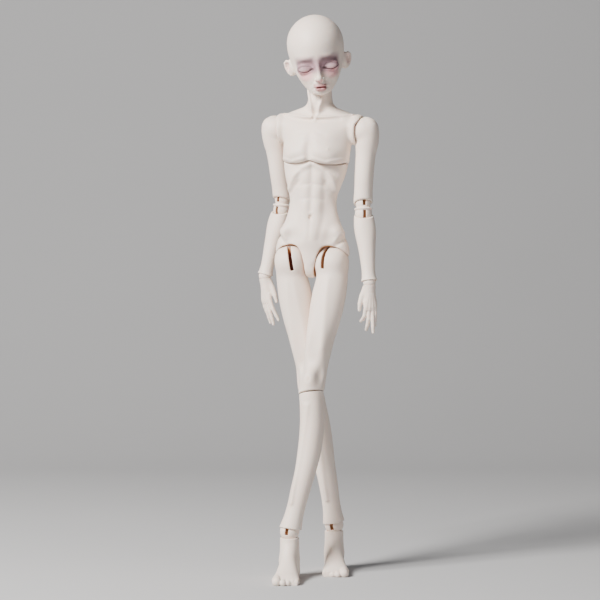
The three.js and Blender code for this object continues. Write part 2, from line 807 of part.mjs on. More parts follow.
for (const [name, side] of sides) {
  const hip = pivot(torsoRoot, "hip_" + name, side * hipX, 0, 0);
  const { lean, turn, knee, bow, foot } = legPose[name];
  const half = rad(knee / 2);
  const back = kneeSpan * Math.sin(half) + calfLength * Math.sin(2 * half);
  const down = thighLength + kneeSpan * Math.cos(half) + calfLength * Math.cos(2 * half);
  const hipHeight = hip.getWorldPosition(new THREE.Vector3()).z;
  const drop = standShare * (thighLength + kneeSpan + calfLength) + hipHeight;
  const behind = back * Math.cos(rad(turn));
  const needed = (drop - back * Math.sin(rad(turn)) * Math.sin(rad(lean))) / Math.cos(rad(lean));
  const chordSwing = side * Math.acos(needed / Math.hypot(behind, down));
  const swing = THREE.MathUtils.radToDeg(chordSwing + Math.atan2(behind, down));
  const thigh = pivot(hip, "thigh_" + name, 0, 0, 0);
  stand(thigh, lean + bow / 2, swing, turn);
  const core = pivot(thigh, "knee_" + name, 0, 0, -thighLength);
  core.rotation.set(half, rad(bow) / 2, 0);
  const calf = pivot(core, "calf_" + name, 0, 0, -kneeSpan);
  calf.rotation.set(half, rad(bow) / 2, 0);
  const ankle = pivot(calf, "ankle_" + name, 0, 0, -calfLength);
  const sole = pivot(ankle, "foot_" + name, 0, 0, 0);
  stand(sole, 0, 0, foot);
  const thighCord = elastic(-thighLength + kneeBall + cordGap, -elasticWidth * 1.6);
  const kneeCord = elastic(-kneeSpan - kneeBall * 0.75, kneeBall * 0.75);
  const calfCord = elastic(-calfLength + ankleBall + cordGap, -kneeBall - cordGap);
  hip.add(piece("hip_elastic_" + name, solid(jointElastic()), rubber));
  thigh.add(piece("thigh_" + name, thighPiece(side, bow), resin));
  thigh.add(piece("thigh_elastic_" + name, solid(thighCord), rubber));
  core.add(piece("knee_" + name, kneePiece(), resin));
  core.add(piece("knee_elastic_" + name, solid(kneeCord), rubber));
  calf.add(piece("calf_" + name, calfPiece(side, bow, calfBendShare[name]), resin));
  calf.add(piece("calf_elastic_" + name, solid(calfCord), rubber));
  ankle.add(piece("ankle_ball_" + name, anklePiece(), resin));
  ankle.add(piece("ankle_hook_" + name, solid(hook(ankleBall * 0.62)), steel));
  sole.add(piece("foot_" + name, footPiece(side), resin));
}

for (const [name, side] of sides) {
  const { lean, swing, turn, elbow, carry, hand } = armPose[name];
  const shoulder = pivot(waist, "shoulder_" + name, side * shoulderX, shoulderSetBack, shoulderRise);
  const upper = pivot(shoulder, "upper_arm_" + name, 0, 0, 0);
  stand(upper, lean, swing, turn);
  const core = pivot(upper, "elbow_" + name, 0, 0, -upperArmLength);
  core.rotation.set(-rad(elbow / 2), -rad(side * carry) / 2, 0);
  const fore = pivot(core, "forearm_" + name, 0, 0, -elbowSpan);
  fore.rotation.set(-rad(elbow / 2), -rad(side * carry) / 2, 0);
  const wrist = pivot(fore, "wrist_" + name, 0, 0, -forearmLength);
  const palm = pivot(wrist, "hand_" + name, 0, 0, 0);
  stand(palm, hand.lean, hand.swing, hand.turn);
  const upperCord = elastic(-upperArmLength + elbowBall + cordGap, -elasticWidth * 1.6);
  const elbowCord = elastic(-elbowSpan - elbowBall * 0.75, elbowBall * 0.75);
  const foreCord = elastic(-forearmLength + wristBall + cordGap, -elbowLowerBall - cordGap);
  shoulder.add(piece("shoulder_elastic_" + name, solid(jointElastic()), rubber));
  upper.add(piece("upper_arm_" + name, upperArmPiece(side), resin));
  upper.add(piece("upper_arm_elastic_" + name, solid(upperCord), rubber));
  core.add(piece("elbow_" + name, elbowPiece(), resin));
  core.add(piece("elbow_elastic_" + name, solid(elbowCord), rubber));
  fore.add(piece("forearm_" + name, forearmPiece(side), resin));
  fore.add(piece("forearm_elastic_" + name, solid(foreCord), rubber));
  wrist.add(piece("wrist_ball_" + name, wristPiece(), resin));
  wrist.add(piece("wrist_hook_" + name, solid(hook(wristBall * 0.62)), steel));
  palm.add(piece("hand_" + name, handPiece(side), resin));
}

// Head: a hollow skull open at the back, closed by a cap that magnets hold.
const skullMiddle = headHeight * 0.4;
const seamSetBack = capSetBack - looseFit;

// Sets a shape made about the cap's seam, with Y across it, in its place in the head.
const toSeam = (geometry) => geometry.rotateX(rad(capTilt)).translate(0, seamSetBack, skullMiddle);

function skullHalf(way) {
  const half = new THREE.BoxGeometry(2 * cutOverrun, 2 * cutOverrun, 2 * cutOverrun);
  return toSeam(half.translate(0, way * (cutOverrun - capRoom / 2), 0));
}

// A disc in the skull's wall, between two depths from the middle of the seam.
function disc(side, way, near, far, radius) {
  const made = new THREE.CylinderGeometry(radius, radius, far - near, ballSides);
  return toSeam(made.translate(side * headWidth * 0.405, (way * (near + far)) / 2, 0));
}

const magnetNear = capRoom / 2 + looseFit;
const magnetFar = magnetNear + magnetThickness;
const magnet = (side, way) => disc(side, way, magnetNear, magnetFar, magnetWidth / 2);
const pocket = (side, way) => disc(side, way, 0, magnetFar + looseFit, magnetWidth / 2 + looseFit);

function wholeHead() {
  const rings = headShares.map(([rise, half, front, back]) =>
    oval(
      rise * headHeight, 0, half * headWidth, half * headWidth,
      front * headDepth, back * headDepth, limbSides + 4,
    ),
  );
  const nose = new THREE.ConeGeometry(headWidth * 0.085, headHeight * 0.26, toeSides);
  const noseAt = [0, -headDepth * 0.465, headHeight * 0.2];
  let made = join(solid(skin(rings)), nose.rotateX(Math.PI / 2 - rad(noseTilt)).translate(...noseAt));
  for (const side of [1, -1]) {
    const ear = new THREE.SphereGeometry(headHeight * 0.11, toeSides, cordSides).scale(0.42, 0.62, 1);
    ear.rotateZ(side * rad(earTurn));
    made = join(made, ear.translate(side * headWidth * 0.492, headDepth * 0.05, headHeight * 0.185));
  }
  return made;
}

// The hollow of the skull.
function skullRoom() {
  return new THREE.SphereGeometry(1, ballSides, ballRings)
    .rotateX(Math.PI / 2)
    .scale(headWidth / 2 - headWall, headDepth / 2 - headWall, headHeight * 0.29)
    .translate(0, headDepth * 0.04, headHeight * 0.48);
}

// Turns a shape made about the neck's axis to the head's own attitude.
const alongNeck = (geometry) => geometry.applyQuaternion(neck.quaternion.clone().invert());

// The well under the skull that the neck passes through, wider below so that the head can nod.
function neckWell() {
  const depth = neckBall * 1.8;
  const cone = new THREE.CylinderGeometry(neckBall * 1.15, neckWidth * 0.73, depth, ballSides);
  return alongNeck(cone.rotateX(Math.PI / 2).translate(0, 0, -depth / 2 + ballClearance));
}

function headPiece() {
  const hole = alongNeck(rod(neckBall * 1.35, 0, headHeight * 0.3, 0, 0, ballSides));
  return cut(
    wholeHead(),
    neckWell(),
    skullRoom(),
    skullHalf(1),
    socket(neckBall, 0, 0, 0),
    hole,
    pocket(1, -1),
    pocket(-1, -1),
  );
}

const neckHook = pivot(waist, "neck_hook", 0, -neckForward, neckRise);
neckHook.add(piece("neck_hook", solid(hook(neckHookReach)), steel));
neck.add(piece("head", headPiece(), resin));
const cap = cut(wholeHead(), skullRoom(), skullHalf(-1), pocket(1, 1), pocket(-1, 1));
neck.add(piece("head_cap", cap, resin));
for (const [name, side] of sides) {
  neck.add(piece("head_magnet_" + name, solid(magnet(side, -1)), magnetFinish));
  neck.add(piece("cap_magnet_" + name, solid(magnet(side, 1)), magnetFinish));
}

// The doll stands on z = 0, centred on its own outline.
doll.updateMatrixWorld(true);
const reach = new THREE.Box3().setFromObject(doll, true);
const middle = reach.getCenter(new THREE.Vector3());
torsoRoot.position.set(-middle.x, -middle.y, -reach.min.z);

export default doll;
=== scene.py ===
"""A ball jointed doll of matte cast resin, sculpted piece by piece round its packed frame."""

import json
import math

import bpy
import numpy as np
import openvdb
from bpy.props import FloatProperty, FloatVectorProperty, PointerProperty
from mathutils import Matrix, Vector

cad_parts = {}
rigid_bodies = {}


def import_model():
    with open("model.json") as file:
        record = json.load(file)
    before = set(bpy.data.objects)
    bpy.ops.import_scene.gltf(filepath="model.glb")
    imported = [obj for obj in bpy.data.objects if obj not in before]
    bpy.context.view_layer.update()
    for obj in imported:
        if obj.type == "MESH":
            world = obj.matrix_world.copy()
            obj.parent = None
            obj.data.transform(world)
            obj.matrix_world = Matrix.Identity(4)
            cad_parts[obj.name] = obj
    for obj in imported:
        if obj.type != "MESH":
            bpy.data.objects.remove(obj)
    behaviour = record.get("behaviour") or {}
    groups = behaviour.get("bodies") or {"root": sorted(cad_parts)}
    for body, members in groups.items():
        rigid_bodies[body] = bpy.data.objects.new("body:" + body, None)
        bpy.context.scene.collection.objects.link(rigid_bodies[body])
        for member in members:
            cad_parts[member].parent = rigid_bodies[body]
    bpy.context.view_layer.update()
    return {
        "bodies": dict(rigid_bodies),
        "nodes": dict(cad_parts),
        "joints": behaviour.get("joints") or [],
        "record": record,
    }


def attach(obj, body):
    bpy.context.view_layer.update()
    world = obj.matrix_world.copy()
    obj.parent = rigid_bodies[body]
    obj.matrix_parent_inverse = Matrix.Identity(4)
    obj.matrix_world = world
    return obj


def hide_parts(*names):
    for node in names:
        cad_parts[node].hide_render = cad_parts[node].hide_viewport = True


bl_info = {
    "name": "Ball Jointed Doll",
    "version": (1, 0, 0),
    "blender": (4, 5, 0),
    "location": "View3D > Sidebar > Doll",
    "description": "Sculpts a strung resin doll round its frame and lights it",
    "category": "Add Mesh",
}

FAR = 1000.0
MILLI = 0.001
SIDES = (("l", False), ("r", True))
CORD_SIDES = 12
# Height of the point that the lights turn to, in metres.
MIDDLE = 0.4
TINY = 1e-6
SPECK = 1e-9
# How many of its radii a soft swelling or stroke reaches.
SOFT_REACH = 2.3
# The packed joints and nodes, the pieces' frames and the finishes, filled in while the steps run.
state = {}


# Settings

def length(label, purpose, millimetres):
    """A length setting, given in millimetres."""
    return FloatProperty(name=label, description=purpose, default=millimetres * MILLI, min=0.0,
                         unit="LENGTH", precision=4)


def angle(label, purpose, degrees):
    """An angle setting, given in degrees."""
    return FloatProperty(name=label, description=purpose, default=math.radians(degrees), unit="ROTATION")


def share(label, purpose, value):
    """A setting without a unit."""
    return FloatProperty(name=label, description=purpose, default=value)


def tint(label, purpose, *value):
    """A linear colour setting."""
    return FloatVectorProperty(name=label, description=purpose, subtype="COLOR", size=3, default=value,
                               min=0.0, max=1.0)


class DollSizes(bpy.types.PropertyGroup):
    """Lengths of the resin pieces."""
    grain: length("Grain", "Voxel size of the limbs", 0.8)
    fine_grain: length("Fine grain", "Voxel size of the head, hands and feet", 0.5)
    hip_ball: length("Hip ball", "Radius of the hip ball", 15.5)
    knee_ball: length("Knee ball", "Radius of the knee balls", 8.8)
    ankle_ball: length("Ankle ball", "Radius of the ankle ball", 10.4)
    shoulder_ball: length("Shoulder ball", "Radius of the inner half of the upper arm's head", 15.2)
    elbow_ball: length("Elbow ball", "Radius of the elbow's upper ball", 8.4)
    elbow_low_ball: length("Lower elbow ball", "Radius of the elbow's lower ball", 9.4)
    wrist_ball: length("Wrist ball", "Radius of the wrist ball", 6.9)
    neck_ball: length("Neck ball", "Radius of the ball on top of the neck", 10.2)
    flange_top: length("Flange top", "Where the elbow's flange begins, below the upper joint", 5.2)
    flange_low: length("Flange end", "Where the elbow's flange ends, below the upper joint", 7.2)
    gap: length("Gap", "Clearance round each ball", 0.35)
    seam: length("Seam", "Width of the seam between two castings", 0.5)
    slot: length("Slot", "Width of the slots for the cord", 3.8)
    wire: length("Wire", "Diameter of the hooks' wire", 1.8)
    thigh_width: length("Thigh width", "Width that the thigh's shares refer to", 38)
    calf_width: length("Calf width", "Width that the calf's shares refer to", 33)
    arm_width: length("Arm width", "Width that the upper arm's shares refer to", 24)
    forearm_width: length("Forearm width", "Width that the forearm's shares refer to", 22)
    foot_length: length("Foot length", "Length from heel to toe", 76)
    foot_width: length("Foot width", "Width across the ball of the foot", 29)


class DollPose(bpy.types.PropertyGroup):
    """Attitudes that the joints' axes leave open."""
    head_lean: angle("Head lean", "Lean of the head towards its right", 4.5)
    head_swing: angle("Head swing", "Swing of the head, less than zero for a bow", -19)
    head_turn: angle("Head turn", "Turn of the head to its left", 10.5)
    hand_lean_l: angle("Left hand lean", "Lean of the left hand", 3.1)
    hand_swing_l: angle("Left hand swing", "Swing of the left hand", 1.4)
    hand_turn_l: angle("Left hand turn", "Turn of the left hand", 30)
    hand_lean_r: angle("Right hand lean", "Lean of the right hand", 4)
    hand_swing_r: angle("Right hand swing", "Swing of the right hand", 1)
    hand_turn_r: angle("Right hand turn", "Turn of the right hand", -34)
    slot_turn: angle("Hip slot turn", "Turn of the hip slots from straight ahead", 15)
    seam_rise: angle("Knee rise", "How much the knee's seam rises outwards", 16)
    seam_drop: length("Knee seam drop", "How far the knee seam lies below the middle of the knee", 3.6)
    seam_tilt: angle("Knee tilt", "Slope of the back half of the knee's seam", 50)
    elbow_tilt: angle("Elbow tilt", "Slope of the elbow's rims", 26)
    arch_tilt: angle("Arch tilt", "Slope of the leg openings from front to back", 14)


class DollFinish(bpy.types.PropertyGroup):
    """Colours of the finishes."""
    resin: tint("Resin", "Cast resin", 0.88, 0.755, 0.665)
    resin_shade: tint("Resin shade", "Where the resin is thick or lies in a fold", 0.83, 0.66, 0.565)
    # Painted shade: the next three colours darken the resin inside slots, seams and sockets, warmer and
    # darker towards their floors.
    edge: tint("Edge", "Resin just inside a slot or seam", 0.6, 0.34, 0.2)
    slot: tint("Slot", "Floor of a shallow slot", 0.4, 0.2, 0.085)
    hollow: tint("Hollow", "Resin deep in a slot or socket", 0.24, 0.05, 0.028)
    # The brows' colour also paints the crease lines on the lids, partly as shade, and the painted shade
    # in the mouth's corners.
    brow: tint("Brow", "Painted brows", 0.1, 0.065, 0.068)
    smoke: tint("Smoke", "Soft shade round the eyes", 0.38, 0.23, 0.26)
    blush: tint("Blush", "Blush under the eyes", 0.74, 0.33, 0.36)
    # The lash colour also darkens the eyes' inner corners, partly as painted shade.
    lash: tint("Lash", "Line of the lashes", 0.05, 0.025, 0.028)
    lip: tint("Lip", "Painted lips", 0.46, 0.19, 0.2)
    lip_line: tint("Lip line", "Line between the lips", 0.2, 0.025, 0.03)
    floor: tint("Floor", "Floor and backdrop", 0.5, 0.5, 0.51)


class DollStage(bpy.types.PropertyGroup):
    """Camera and light."""
    azimuth: angle("Azimuth", "Camera's direction, from the front towards the doll's left", 13)
    distance: length("Distance", "Camera's distance", 1900)
    height: length("Height", "Camera's height", 299)
    aside: length("Aside", "How far the hips lie to the right of the picture's middle", 12.96)
    lens: share("Lens", "Focal length in millimetres on a 36 mm sensor", 105.56)
    key: share("Key light", "Power of the large front light in watts", 175)
    fill: share("Fill light", "Power of the light on the other side in watts", 6)
    sky: share("Sky", "Strength of the even light from all round", 0.09)


def sizes():
    """The doll's lengths by name, in millimetres."""
    group = bpy.context.scene.doll_sizes
    return {name: getattr(group, name) / MILLI for name in DollSizes.__annotations__}


def fine(step):
    """A voxel size, coarser while things are tried out."""
    return step * 1.0


def new_object(name, data):
    """An object that is linked into the scene."""
    made = bpy.data.objects.new(name, data)
    bpy.context.scene.collection.objects.link(made)
    return made


# Shapes
#
# Each is (lowest corner, highest corner, distance to its surface at x, y, z), in millimetres.

def turned(x, y, z, turn):
    """Coordinates about axes that are turned by a rotation matrix."""
    if turn is None:
        return x, y, z
    return tuple(turn[0][k] * x + turn[1][k] * y + turn[2][k] * z for k in range(3))


def egg(centre, radii, turn=None):
    """An ellipsoid."""
    reach = max(radii)
    cx, cy, cz = centre

    def distance(x, y, z):
        px, py, pz = turned(x - cx, y - cy, z - cz, turn)
        near = np.sqrt((px / radii[0]) ** 2 + (py / radii[1]) ** 2 + (pz / radii[2]) ** 2)
        steep = np.sqrt((px / radii[0] ** 2) ** 2 + (py / radii[1] ** 2) ** 2 + (pz / radii[2] ** 2) ** 2)
        return near * (near - 1) / (steep + TINY)
    return [c - reach for c in centre], [c + reach for c in centre], distance


def ball(centre, radius):
    """A sphere."""
    cx, cy, cz = centre

    def distance(x, y, z):
        return np.sqrt((x - cx) ** 2 + (y - cy) ** 2 + (z - cz) ** 2) - radius
    return [c - radius for c in centre], [c + radius for c in centre], distance


def tube(points, radii):
    """A run of tapered lengths through points."""
    widest = max(radii)
    low = [min(p[k] for p in points) - widest for k in range(3)]
    high = [max(p[k] for p in points) + widest for k in range(3)]

    def distance(x, y, z):
        best = None
        for a, b, ra, rb in zip(points, points[1:], radii, radii[1:]):
            along = [q - p for p, q in zip(a, b)]
            size = sum(v * v for v in along) + SPECK
            px, py, pz = x - a[0], y - a[1], z - a[2]
            t = np.clip((px * along[0] + py * along[1] + pz * along[2]) / size, 0, 1)
            gap = np.sqrt((px - t * along[0]) ** 2 + (py - t * along[1]) ** 2 + (pz - t * along[2]) ** 2)
            gap = gap - (ra + (rb - ra) * t)
            best = gap if best is None else np.minimum(best, gap)
        return best
    return low, high, distance


def box(low, high, turn=None):
    """A block, turned about the origin."""
    middle = [(a + b) / 2 for a, b in zip(low, high)]
    half = [(b - a) / 2 for a, b in zip(low, high)]
    reach = math.sqrt(sum(h * h for h in half)) + math.sqrt(sum(m * m for m in middle))
    corner = low if turn is None else [-reach] * 3
    far = high if turn is None else [reach] * 3

    def distance(x, y, z):
        p = turned(x, y, z, turn)
        d = [np.abs(v - m) - h for v, m, h in zip(p, middle, half)]
        out = np.sqrt(sum(np.maximum(v, 0) ** 2 for v in d))
        return out + np.minimum(np.maximum(np.maximum(d[0], d[1]), d[2]), 0)
    return corner, far, distance


def everywhere(distance):
    """A shape without bounds."""
    return [-FAR] * 3, [FAR] * 3, distance


def beyond(tilt, y0, z0, way, roll=0.0):
    """Everything past a plane through (0, y0, z0) that slopes from front to back, then rolls sideways."""
    normal = Matrix.Rotation(roll, 3, "Y") @ Matrix.Rotation(tilt, 3, "X") @ Vector((0, 0, way))
    return everywhere(lambda x, y, z: -(normal[0] * x + normal[1] * (y - y0) + normal[2] * (z - z0)))


def bore(top, low, radius, top_radius=None):
    """A round channel for the cord along z, between two heights."""
    return tube([(0, 0, low), (0, 0, top)], (radius, top_radius or radius))


def curve(at, knots, values):
    """A smooth line through the values at rising knots."""
    knots, values = np.asarray(knots, np.float32), np.asarray(values, np.float32)
    step = np.diff(knots)
    slope = np.diff(values) / step
    tangent = np.concatenate([slope[:1], (slope[:-1] * step[1:] + slope[1:] * step[:-1])
                              / (step[1:] + step[:-1]), slope[-1:]])
    k = np.clip(np.searchsorted(knots, at) - 1, 0, len(step) - 1)
    t = np.clip((at - knots[k]) / step[k], 0, 1)
    first, last = values[k], values[k + 1]
    m0, m1 = tangent[k] * step[k], tangent[k + 1] * step[k]
    rise = (3 - 2 * t) * t * t
    return (1 - rise) * first + rise * last + t * (1 - t) * ((1 - t) * m0 - t * m1)


def loft(rows):
    """A solid through oval sections: rows of (height, then the reach towards +x, -x, -y and +y).

    A sixth value moves the section's middle along y."""
    rows = sorted(rows)
    places = [r[0] for r in rows]
    table = [[r[k] for r in rows] for k in (1, 2, 3, 4)]
    shift = [r[5] if len(r) > 5 else 0.0 for r in rows]
    wide = max(max(table[0]), max(table[1]))
    deep = max(max(table[2]), max(table[3])) + max(abs(s) for s in shift)
    low, high = [-wide, -deep, places[0]], [wide, deep, places[-1]]
    least = 0.05

    def distance(x, y, z):
        plus, minus, front, back = (curve(z, places, column) for column in table)
        centre = curve(z, places, shift)
        a, b = (plus + minus) / 2, (front + back) / 2
        px = x - (plus - minus) / 2
        py = y - centre - (back - front) / 2
        a, b = np.maximum(a, least), np.maximum(b, least)
        near = np.sqrt((px / a) ** 2 + (py / b) ** 2) + TINY
        steep = np.sqrt((px / a ** 2) ** 2 + (py / b ** 2) ** 2) + TINY
        side = (near - 1) * near / steep
        side = np.maximum(side, -np.minimum(a, b))
        return np.maximum(side, np.maximum(places[0] - z, z - places[-1]))
    return low, high, distance


def limb(shares, drop, width, bend=0.0):
    """A loft from a table of shares, with its middle bent outwards by a share of the width."""
    rows = []
    for down, *reach in shares:
        outer, inner, front, back = (v * width for v in reach)
        aside = bend * width * math.sin(math.pi * max(down, 0))
        rows.append((-down * drop, outer + aside, inner - aside, front, back))
    return loft(rows)


def soft_min(a, b, blend):
    """The lesser of two distances, with a rounded corner."""
    if blend <= 0:
        return np.minimum(a, b)
    near = np.maximum(blend - np.abs(a - b), 0) / blend
    return np.minimum(a, b) - near * near * blend / 4


class Clay:
    """A block of voxels in a piece's own frame, in millimetres, that holds distances to its surface."""

    def __init__(self, low, high, step):
        self.step = fine(step)
        self.low = np.array(low, np.float32)
        self.axes = [np.arange(a, b + self.step, self.step, dtype=np.float32) for a, b in zip(low, high)]
        self.value = np.full([len(a) for a in self.axes], FAR, np.float32)
        # The block without its hollows, from which the depth of their walls is measured for the shade
        # painted on them.
        self.whole = None

    def part(self, low, high, margin):
        """The slices of the block between two corners, and the coordinates there."""
        picks = []
        for axis, a, b in zip(self.axes, low, high):
            first = max(int(np.searchsorted(axis, a - margin)) - 1, 0)
            last = min(int(np.searchsorted(axis, b + margin)) + 1, len(axis))
            picks.append(slice(first, max(last, first)))
        x, y, z = (axis[pick] for axis, pick in zip(self.axes, picks))
        return tuple(picks), x[:, None, None], y[None, :, None], z[None, None, :]

    def join(self, shape, blend=0.0):
        """Adds a shape, with a fillet where it meets the rest."""
        low, high, distance = shape
        picks, x, y, z = self.part(low, high, blend + 4 * self.step)
        self.value[picks] = soft_min(self.value[picks], distance(x, y, z), blend)

    def keep(self, shape, blend=0.0):
        """Leaves only what lies inside a shape."""
        distance = shape[2]
        picks, x, y, z = self.part(self.low, [axis[-1] for axis in self.axes], 0)
        self.value[picks] = -soft_min(-self.value[picks], -distance(x, y, z), blend)

    def cut(self, shape, blend=0.0, outer=False):
        """Takes a shape away. The walls that it leaves are darker, unless it trims the outer form."""
        if self.whole is None and not outer:
            self.whole = self.value.copy()
        low, high, distance = shape
        picks, x, y, z = self.part(low, high, blend + 4 * self.step)
        gap = distance(x, y, z)
        self.value[picks] = -soft_min(-self.value[picks], gap, blend)
        if self.whole is not None and outer:
            self.whole[picks] = -soft_min(-self.whole[picks], gap, blend)

    def swell(self, centre, radii, height):
        """Raises the surface softly round a point, or sinks it if the height is negative."""
        reach = [SOFT_REACH * r for r in radii]
        picks, x, y, z = self.part([c - r for c, r in zip(centre, reach)],
                                   [c + r for c, r in zip(centre, reach)], 0)
        away = (((x - centre[0]) / radii[0]) ** 2 + ((y - centre[1]) / radii[1]) ** 2
                + ((z - centre[2]) / radii[2]) ** 2)
        self.value[picks] -= np.float32(height) * np.exp(-away)

    def swells(self, bumps):
        """Raises both halves of a piece: rows of (x, y, z, three radii, height)."""
        for x, y, z, rx, ry, rz, height in bumps:
            for side in ((1, -1) if x else (1,)):
                self.swell((side * x, y, z), (rx, ry, rz), height)

    def stroke(self, points, width, height, deep=None):
        """Raises or sinks a soft line through points."""
        reach = SOFT_REACH * width + (deep or 0)
        picks, x, y, z = self.part([min(p[k] for p in points) - reach for k in range(3)],
                                   [max(p[k] for p in points) + reach for k in range(3)], 0)
        flat = width / deep if deep else 1.0
        best = None
        for a, b in zip(points, points[1:]):
            along = [b[0] - a[0], (b[1] - a[1]) * flat, b[2] - a[2]]
            size = sum(v * v for v in along) + SPECK
            px, py, pz = x - a[0], (y - a[1]) * flat, z - a[2]
            t = np.clip((px * along[0] + py * along[1] + pz * along[2]) / size, 0, 1)
            away = (px - t * along[0]) ** 2 + (py - t * along[1]) ** 2 + (pz - t * along[2]) ** 2
            best = away if best is None else np.minimum(best, away)
        self.value[picks] -= np.float32(height) * np.exp(-best / width ** 2)

    def strokes(self, lines):
        """Draws each line on both halves: rows of (points, width, height, depth reach)."""
        for points, width, height, deep in lines:
            for side in (1, -1):
                if side < 0 and all(p[0] == 0 for p in points):
                    continue
                self.stroke([(side * p[0], p[1], p[2]) for p in points], width, height, deep)

    def piece(self, node, body, mirrored=False, finish="resin"):
        """Makes the mesh and hands it to its body, in place of its CAD node."""
        frame = state["frames"][body]
        name = "resin_" + node
        band = 3 * self.step
        grid = openvdb.FloatGrid(band)
        grid.copyFromArray(np.clip(self.value, -band, band))
        points, quads = grid.convertToQuads(isovalue=0.0)
        index = np.asarray(points, np.float32)
        local = self.low + index * self.step
        # How deep each point lies inside a hollow, which the resin's material turns into painted shade.
        depth = np.zeros(len(local), np.float32)
        if self.whole is not None:
            depth = -self.sampled(self.whole, index)
        quads = np.asarray(quads, np.int32)
        if mirrored:
            local = local * np.array([-1, 1, 1], np.float32)
            quads = quads[:, ::-1]
        turn = np.array(frame.to_3x3()).T.astype(np.float32)
        world = local * MILLI @ turn + np.array(frame.translation)
        if signed_volume(world, quads) < 0:
            quads = quads[:, ::-1]
        mesh = bpy.data.meshes.new(name)
        mesh.vertices.add(len(world))
        mesh.vertices.foreach_set("co", world.astype(np.float32).ravel())
        mesh.loops.add(4 * len(quads))
        mesh.loops.foreach_set("vertex_index", np.ascontiguousarray(quads).ravel())
        mesh.polygons.add(len(quads))
        mesh.polygons.foreach_set("loop_start", np.arange(0, 4 * len(quads), 4, dtype=np.int32))
        mesh.polygons.foreach_set("use_smooth", np.ones(len(quads), bool))
        mesh.update(calc_edges=True)
        place = mesh.attributes.new("place", "FLOAT_VECTOR", "POINT")
        place.data.foreach_set("vector", np.ascontiguousarray(local, np.float32).ravel())
        # The depth inside a hollow, read by the material for its painted shade.
        inside = mesh.attributes.new("inside", "FLOAT", "POINT")
        inside.data.foreach_set("value", np.clip(depth, 0, 30).astype(np.float32))
        mesh.materials.append(state[finish])
        made = new_object(name, mesh)
        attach(made, body)
        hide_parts(node)

    def pair(self, node, body):
        """Makes the left piece, and the right one as its mirror image."""
        for side, mirrored in SIDES:
            self.piece(node + side, body + side, mirrored)

    def sampled(self, values, index):
        """Values between the voxels, at places counted in voxels."""
        first = np.clip(index.astype(np.int32), 0, np.array(values.shape) - 2)
        t = index - first
        total = np.zeros(len(index), np.float32)
        for corner in range(8):
            pick = np.array([corner & 1, corner >> 1 & 1, corner >> 2 & 1])
            weight = np.prod(np.where(pick, t, 1 - t), axis=1)
            at = first + pick
            total += weight * values[at[:, 0], at[:, 1], at[:, 2]]
        return total


def signed_volume(points, quads):
    """Six times the volume that the faces enclose."""
    a, b, c, d = (points[quads[:, k]] for k in range(4))
    return float((a * (np.cross(b, c) + np.cross(c, d))).sum())


# Places of the pieces

def seat(origin, x, z):
    """A piece's own frame from its origin and two directions, of which z is kept exactly."""
    z = z.normalized()
    x = (x - z * x.dot(z)).normalized()
    y = z.cross(x)
    turn = Matrix((x, y, z)).transposed().to_4x4()
    turn.translation = origin
    return turn


def settled(origin, part, side=""):
    """A piece's own frame from its attitude: turned, then swung forwards, then leant."""
    pose = bpy.context.scene.doll_pose
    lean, swing, turn = (getattr(pose, part + way + side) for way in ("_lean", "_swing", "_turn"))
    made = (Matrix.Rotation(-lean, 3, "Y") @ Matrix.Rotation(-swing, 3, "X")
            @ Matrix.Rotation(turn, 3, "Z")).to_4x4()
    made.translation = origin
    return made


def find_frames(joints):
    """The own frame of every body, from the places and axes of the joints."""
    at = {j["name"]: Vector(j["pos_m"]) for j in joints}
    axis = {j["name"]: Vector(j["axis"]) for j in joints}
    middle = (at["hip_swing_l"] + at["hip_swing_r"]) / 2
    left = -axis["hip_swing_l"]
    found = {
        "torso": seat(middle, left, left.cross(-axis["hip_spread_l"])),
        "chest": seat(at["chest_lean"], -axis["chest_lean"], axis["neck_turn"]),
        "head": settled(at["head_nod"], "head"),
    }

    def between(top, low, side, x):
        return seat(at[top + side], x, at[top + side] - at[low + side])
    for side, _ in SIDES:
        elbow = between("elbow_upper_", "elbow_lower_", side, -axis["elbow_lower_" + side])
        knee = between("knee_upper_", "knee_lower_", side, axis["knee_lower_" + side])
        forearm = between("elbow_lower_", "wrist_turn_", side, elbow.to_3x3().col[0])
        calf = between("knee_lower_", "ankle_bend_", side, knee.to_3x3().col[0])
        upper_arm = between("shoulder_swing_", "elbow_upper_", side, -axis["elbow_upper_" + side])
        thigh = between("hip_swing_", "knee_upper_", side, axis["knee_upper_" + side])
        hand = settled(at["wrist_turn_" + side], "hand", "_" + side)
        foot = seat(at["ankle_bend_" + side], -axis["ankle_bend_" + side], Vector((0, 0, 1)))
        wrist, ankle = forearm.copy(), calf.copy()
        wrist.translation = at["wrist_turn_" + side]
        ankle.translation = at["ankle_bend_" + side]
        for name, frame in (
                ("upper_arm_", upper_arm), ("elbow_", elbow), ("forearm_", forearm), ("wrist_", wrist),
                ("hand_", hand), ("thigh_", thigh), ("knee_", knee), ("calf_", calf),
                ("ankle_", ankle), ("foot_", foot)):
            found[name + side] = frame
    return found


def span(first, second):
    """The distance between two joints, in millimetres."""
    at = {j["name"]: Vector(j["pos_m"]) for j in state["joints"]}
    return (at[first] - at[second]).length / MILLI


# Sections of the limbs, from top to bottom: drop as a share of the length, then the outer,
# inner, front and back reach as shares of the width.
THIGH = (
    (-0.1, 0.3, 0.28, 0.3, 0.3), (-0.05, 0.41, 0.34, 0.37, 0.37), (0.0, 0.46, 0.36, 0.4, 0.41),
    (0.05, 0.49, 0.36, 0.4, 0.43), (0.1, 0.52, 0.37, 0.415, 0.45), (0.16, 0.535, 0.39, 0.43, 0.48),
    (0.24, 0.545, 0.42, 0.46, 0.5), (0.34, 0.535, 0.43, 0.475, 0.49), (0.46, 0.495, 0.42, 0.47, 0.45),
    (0.6, 0.42, 0.4, 0.45, 0.41), (0.74, 0.365, 0.375, 0.4, 0.385), (0.85, 0.34, 0.35, 0.4, 0.35),
    (0.93, 0.355, 0.365, 0.44, 0.31), (1.0, 0.36, 0.365, 0.46, 0.29), (1.1, 0.35, 0.35, 0.46, 0.28))
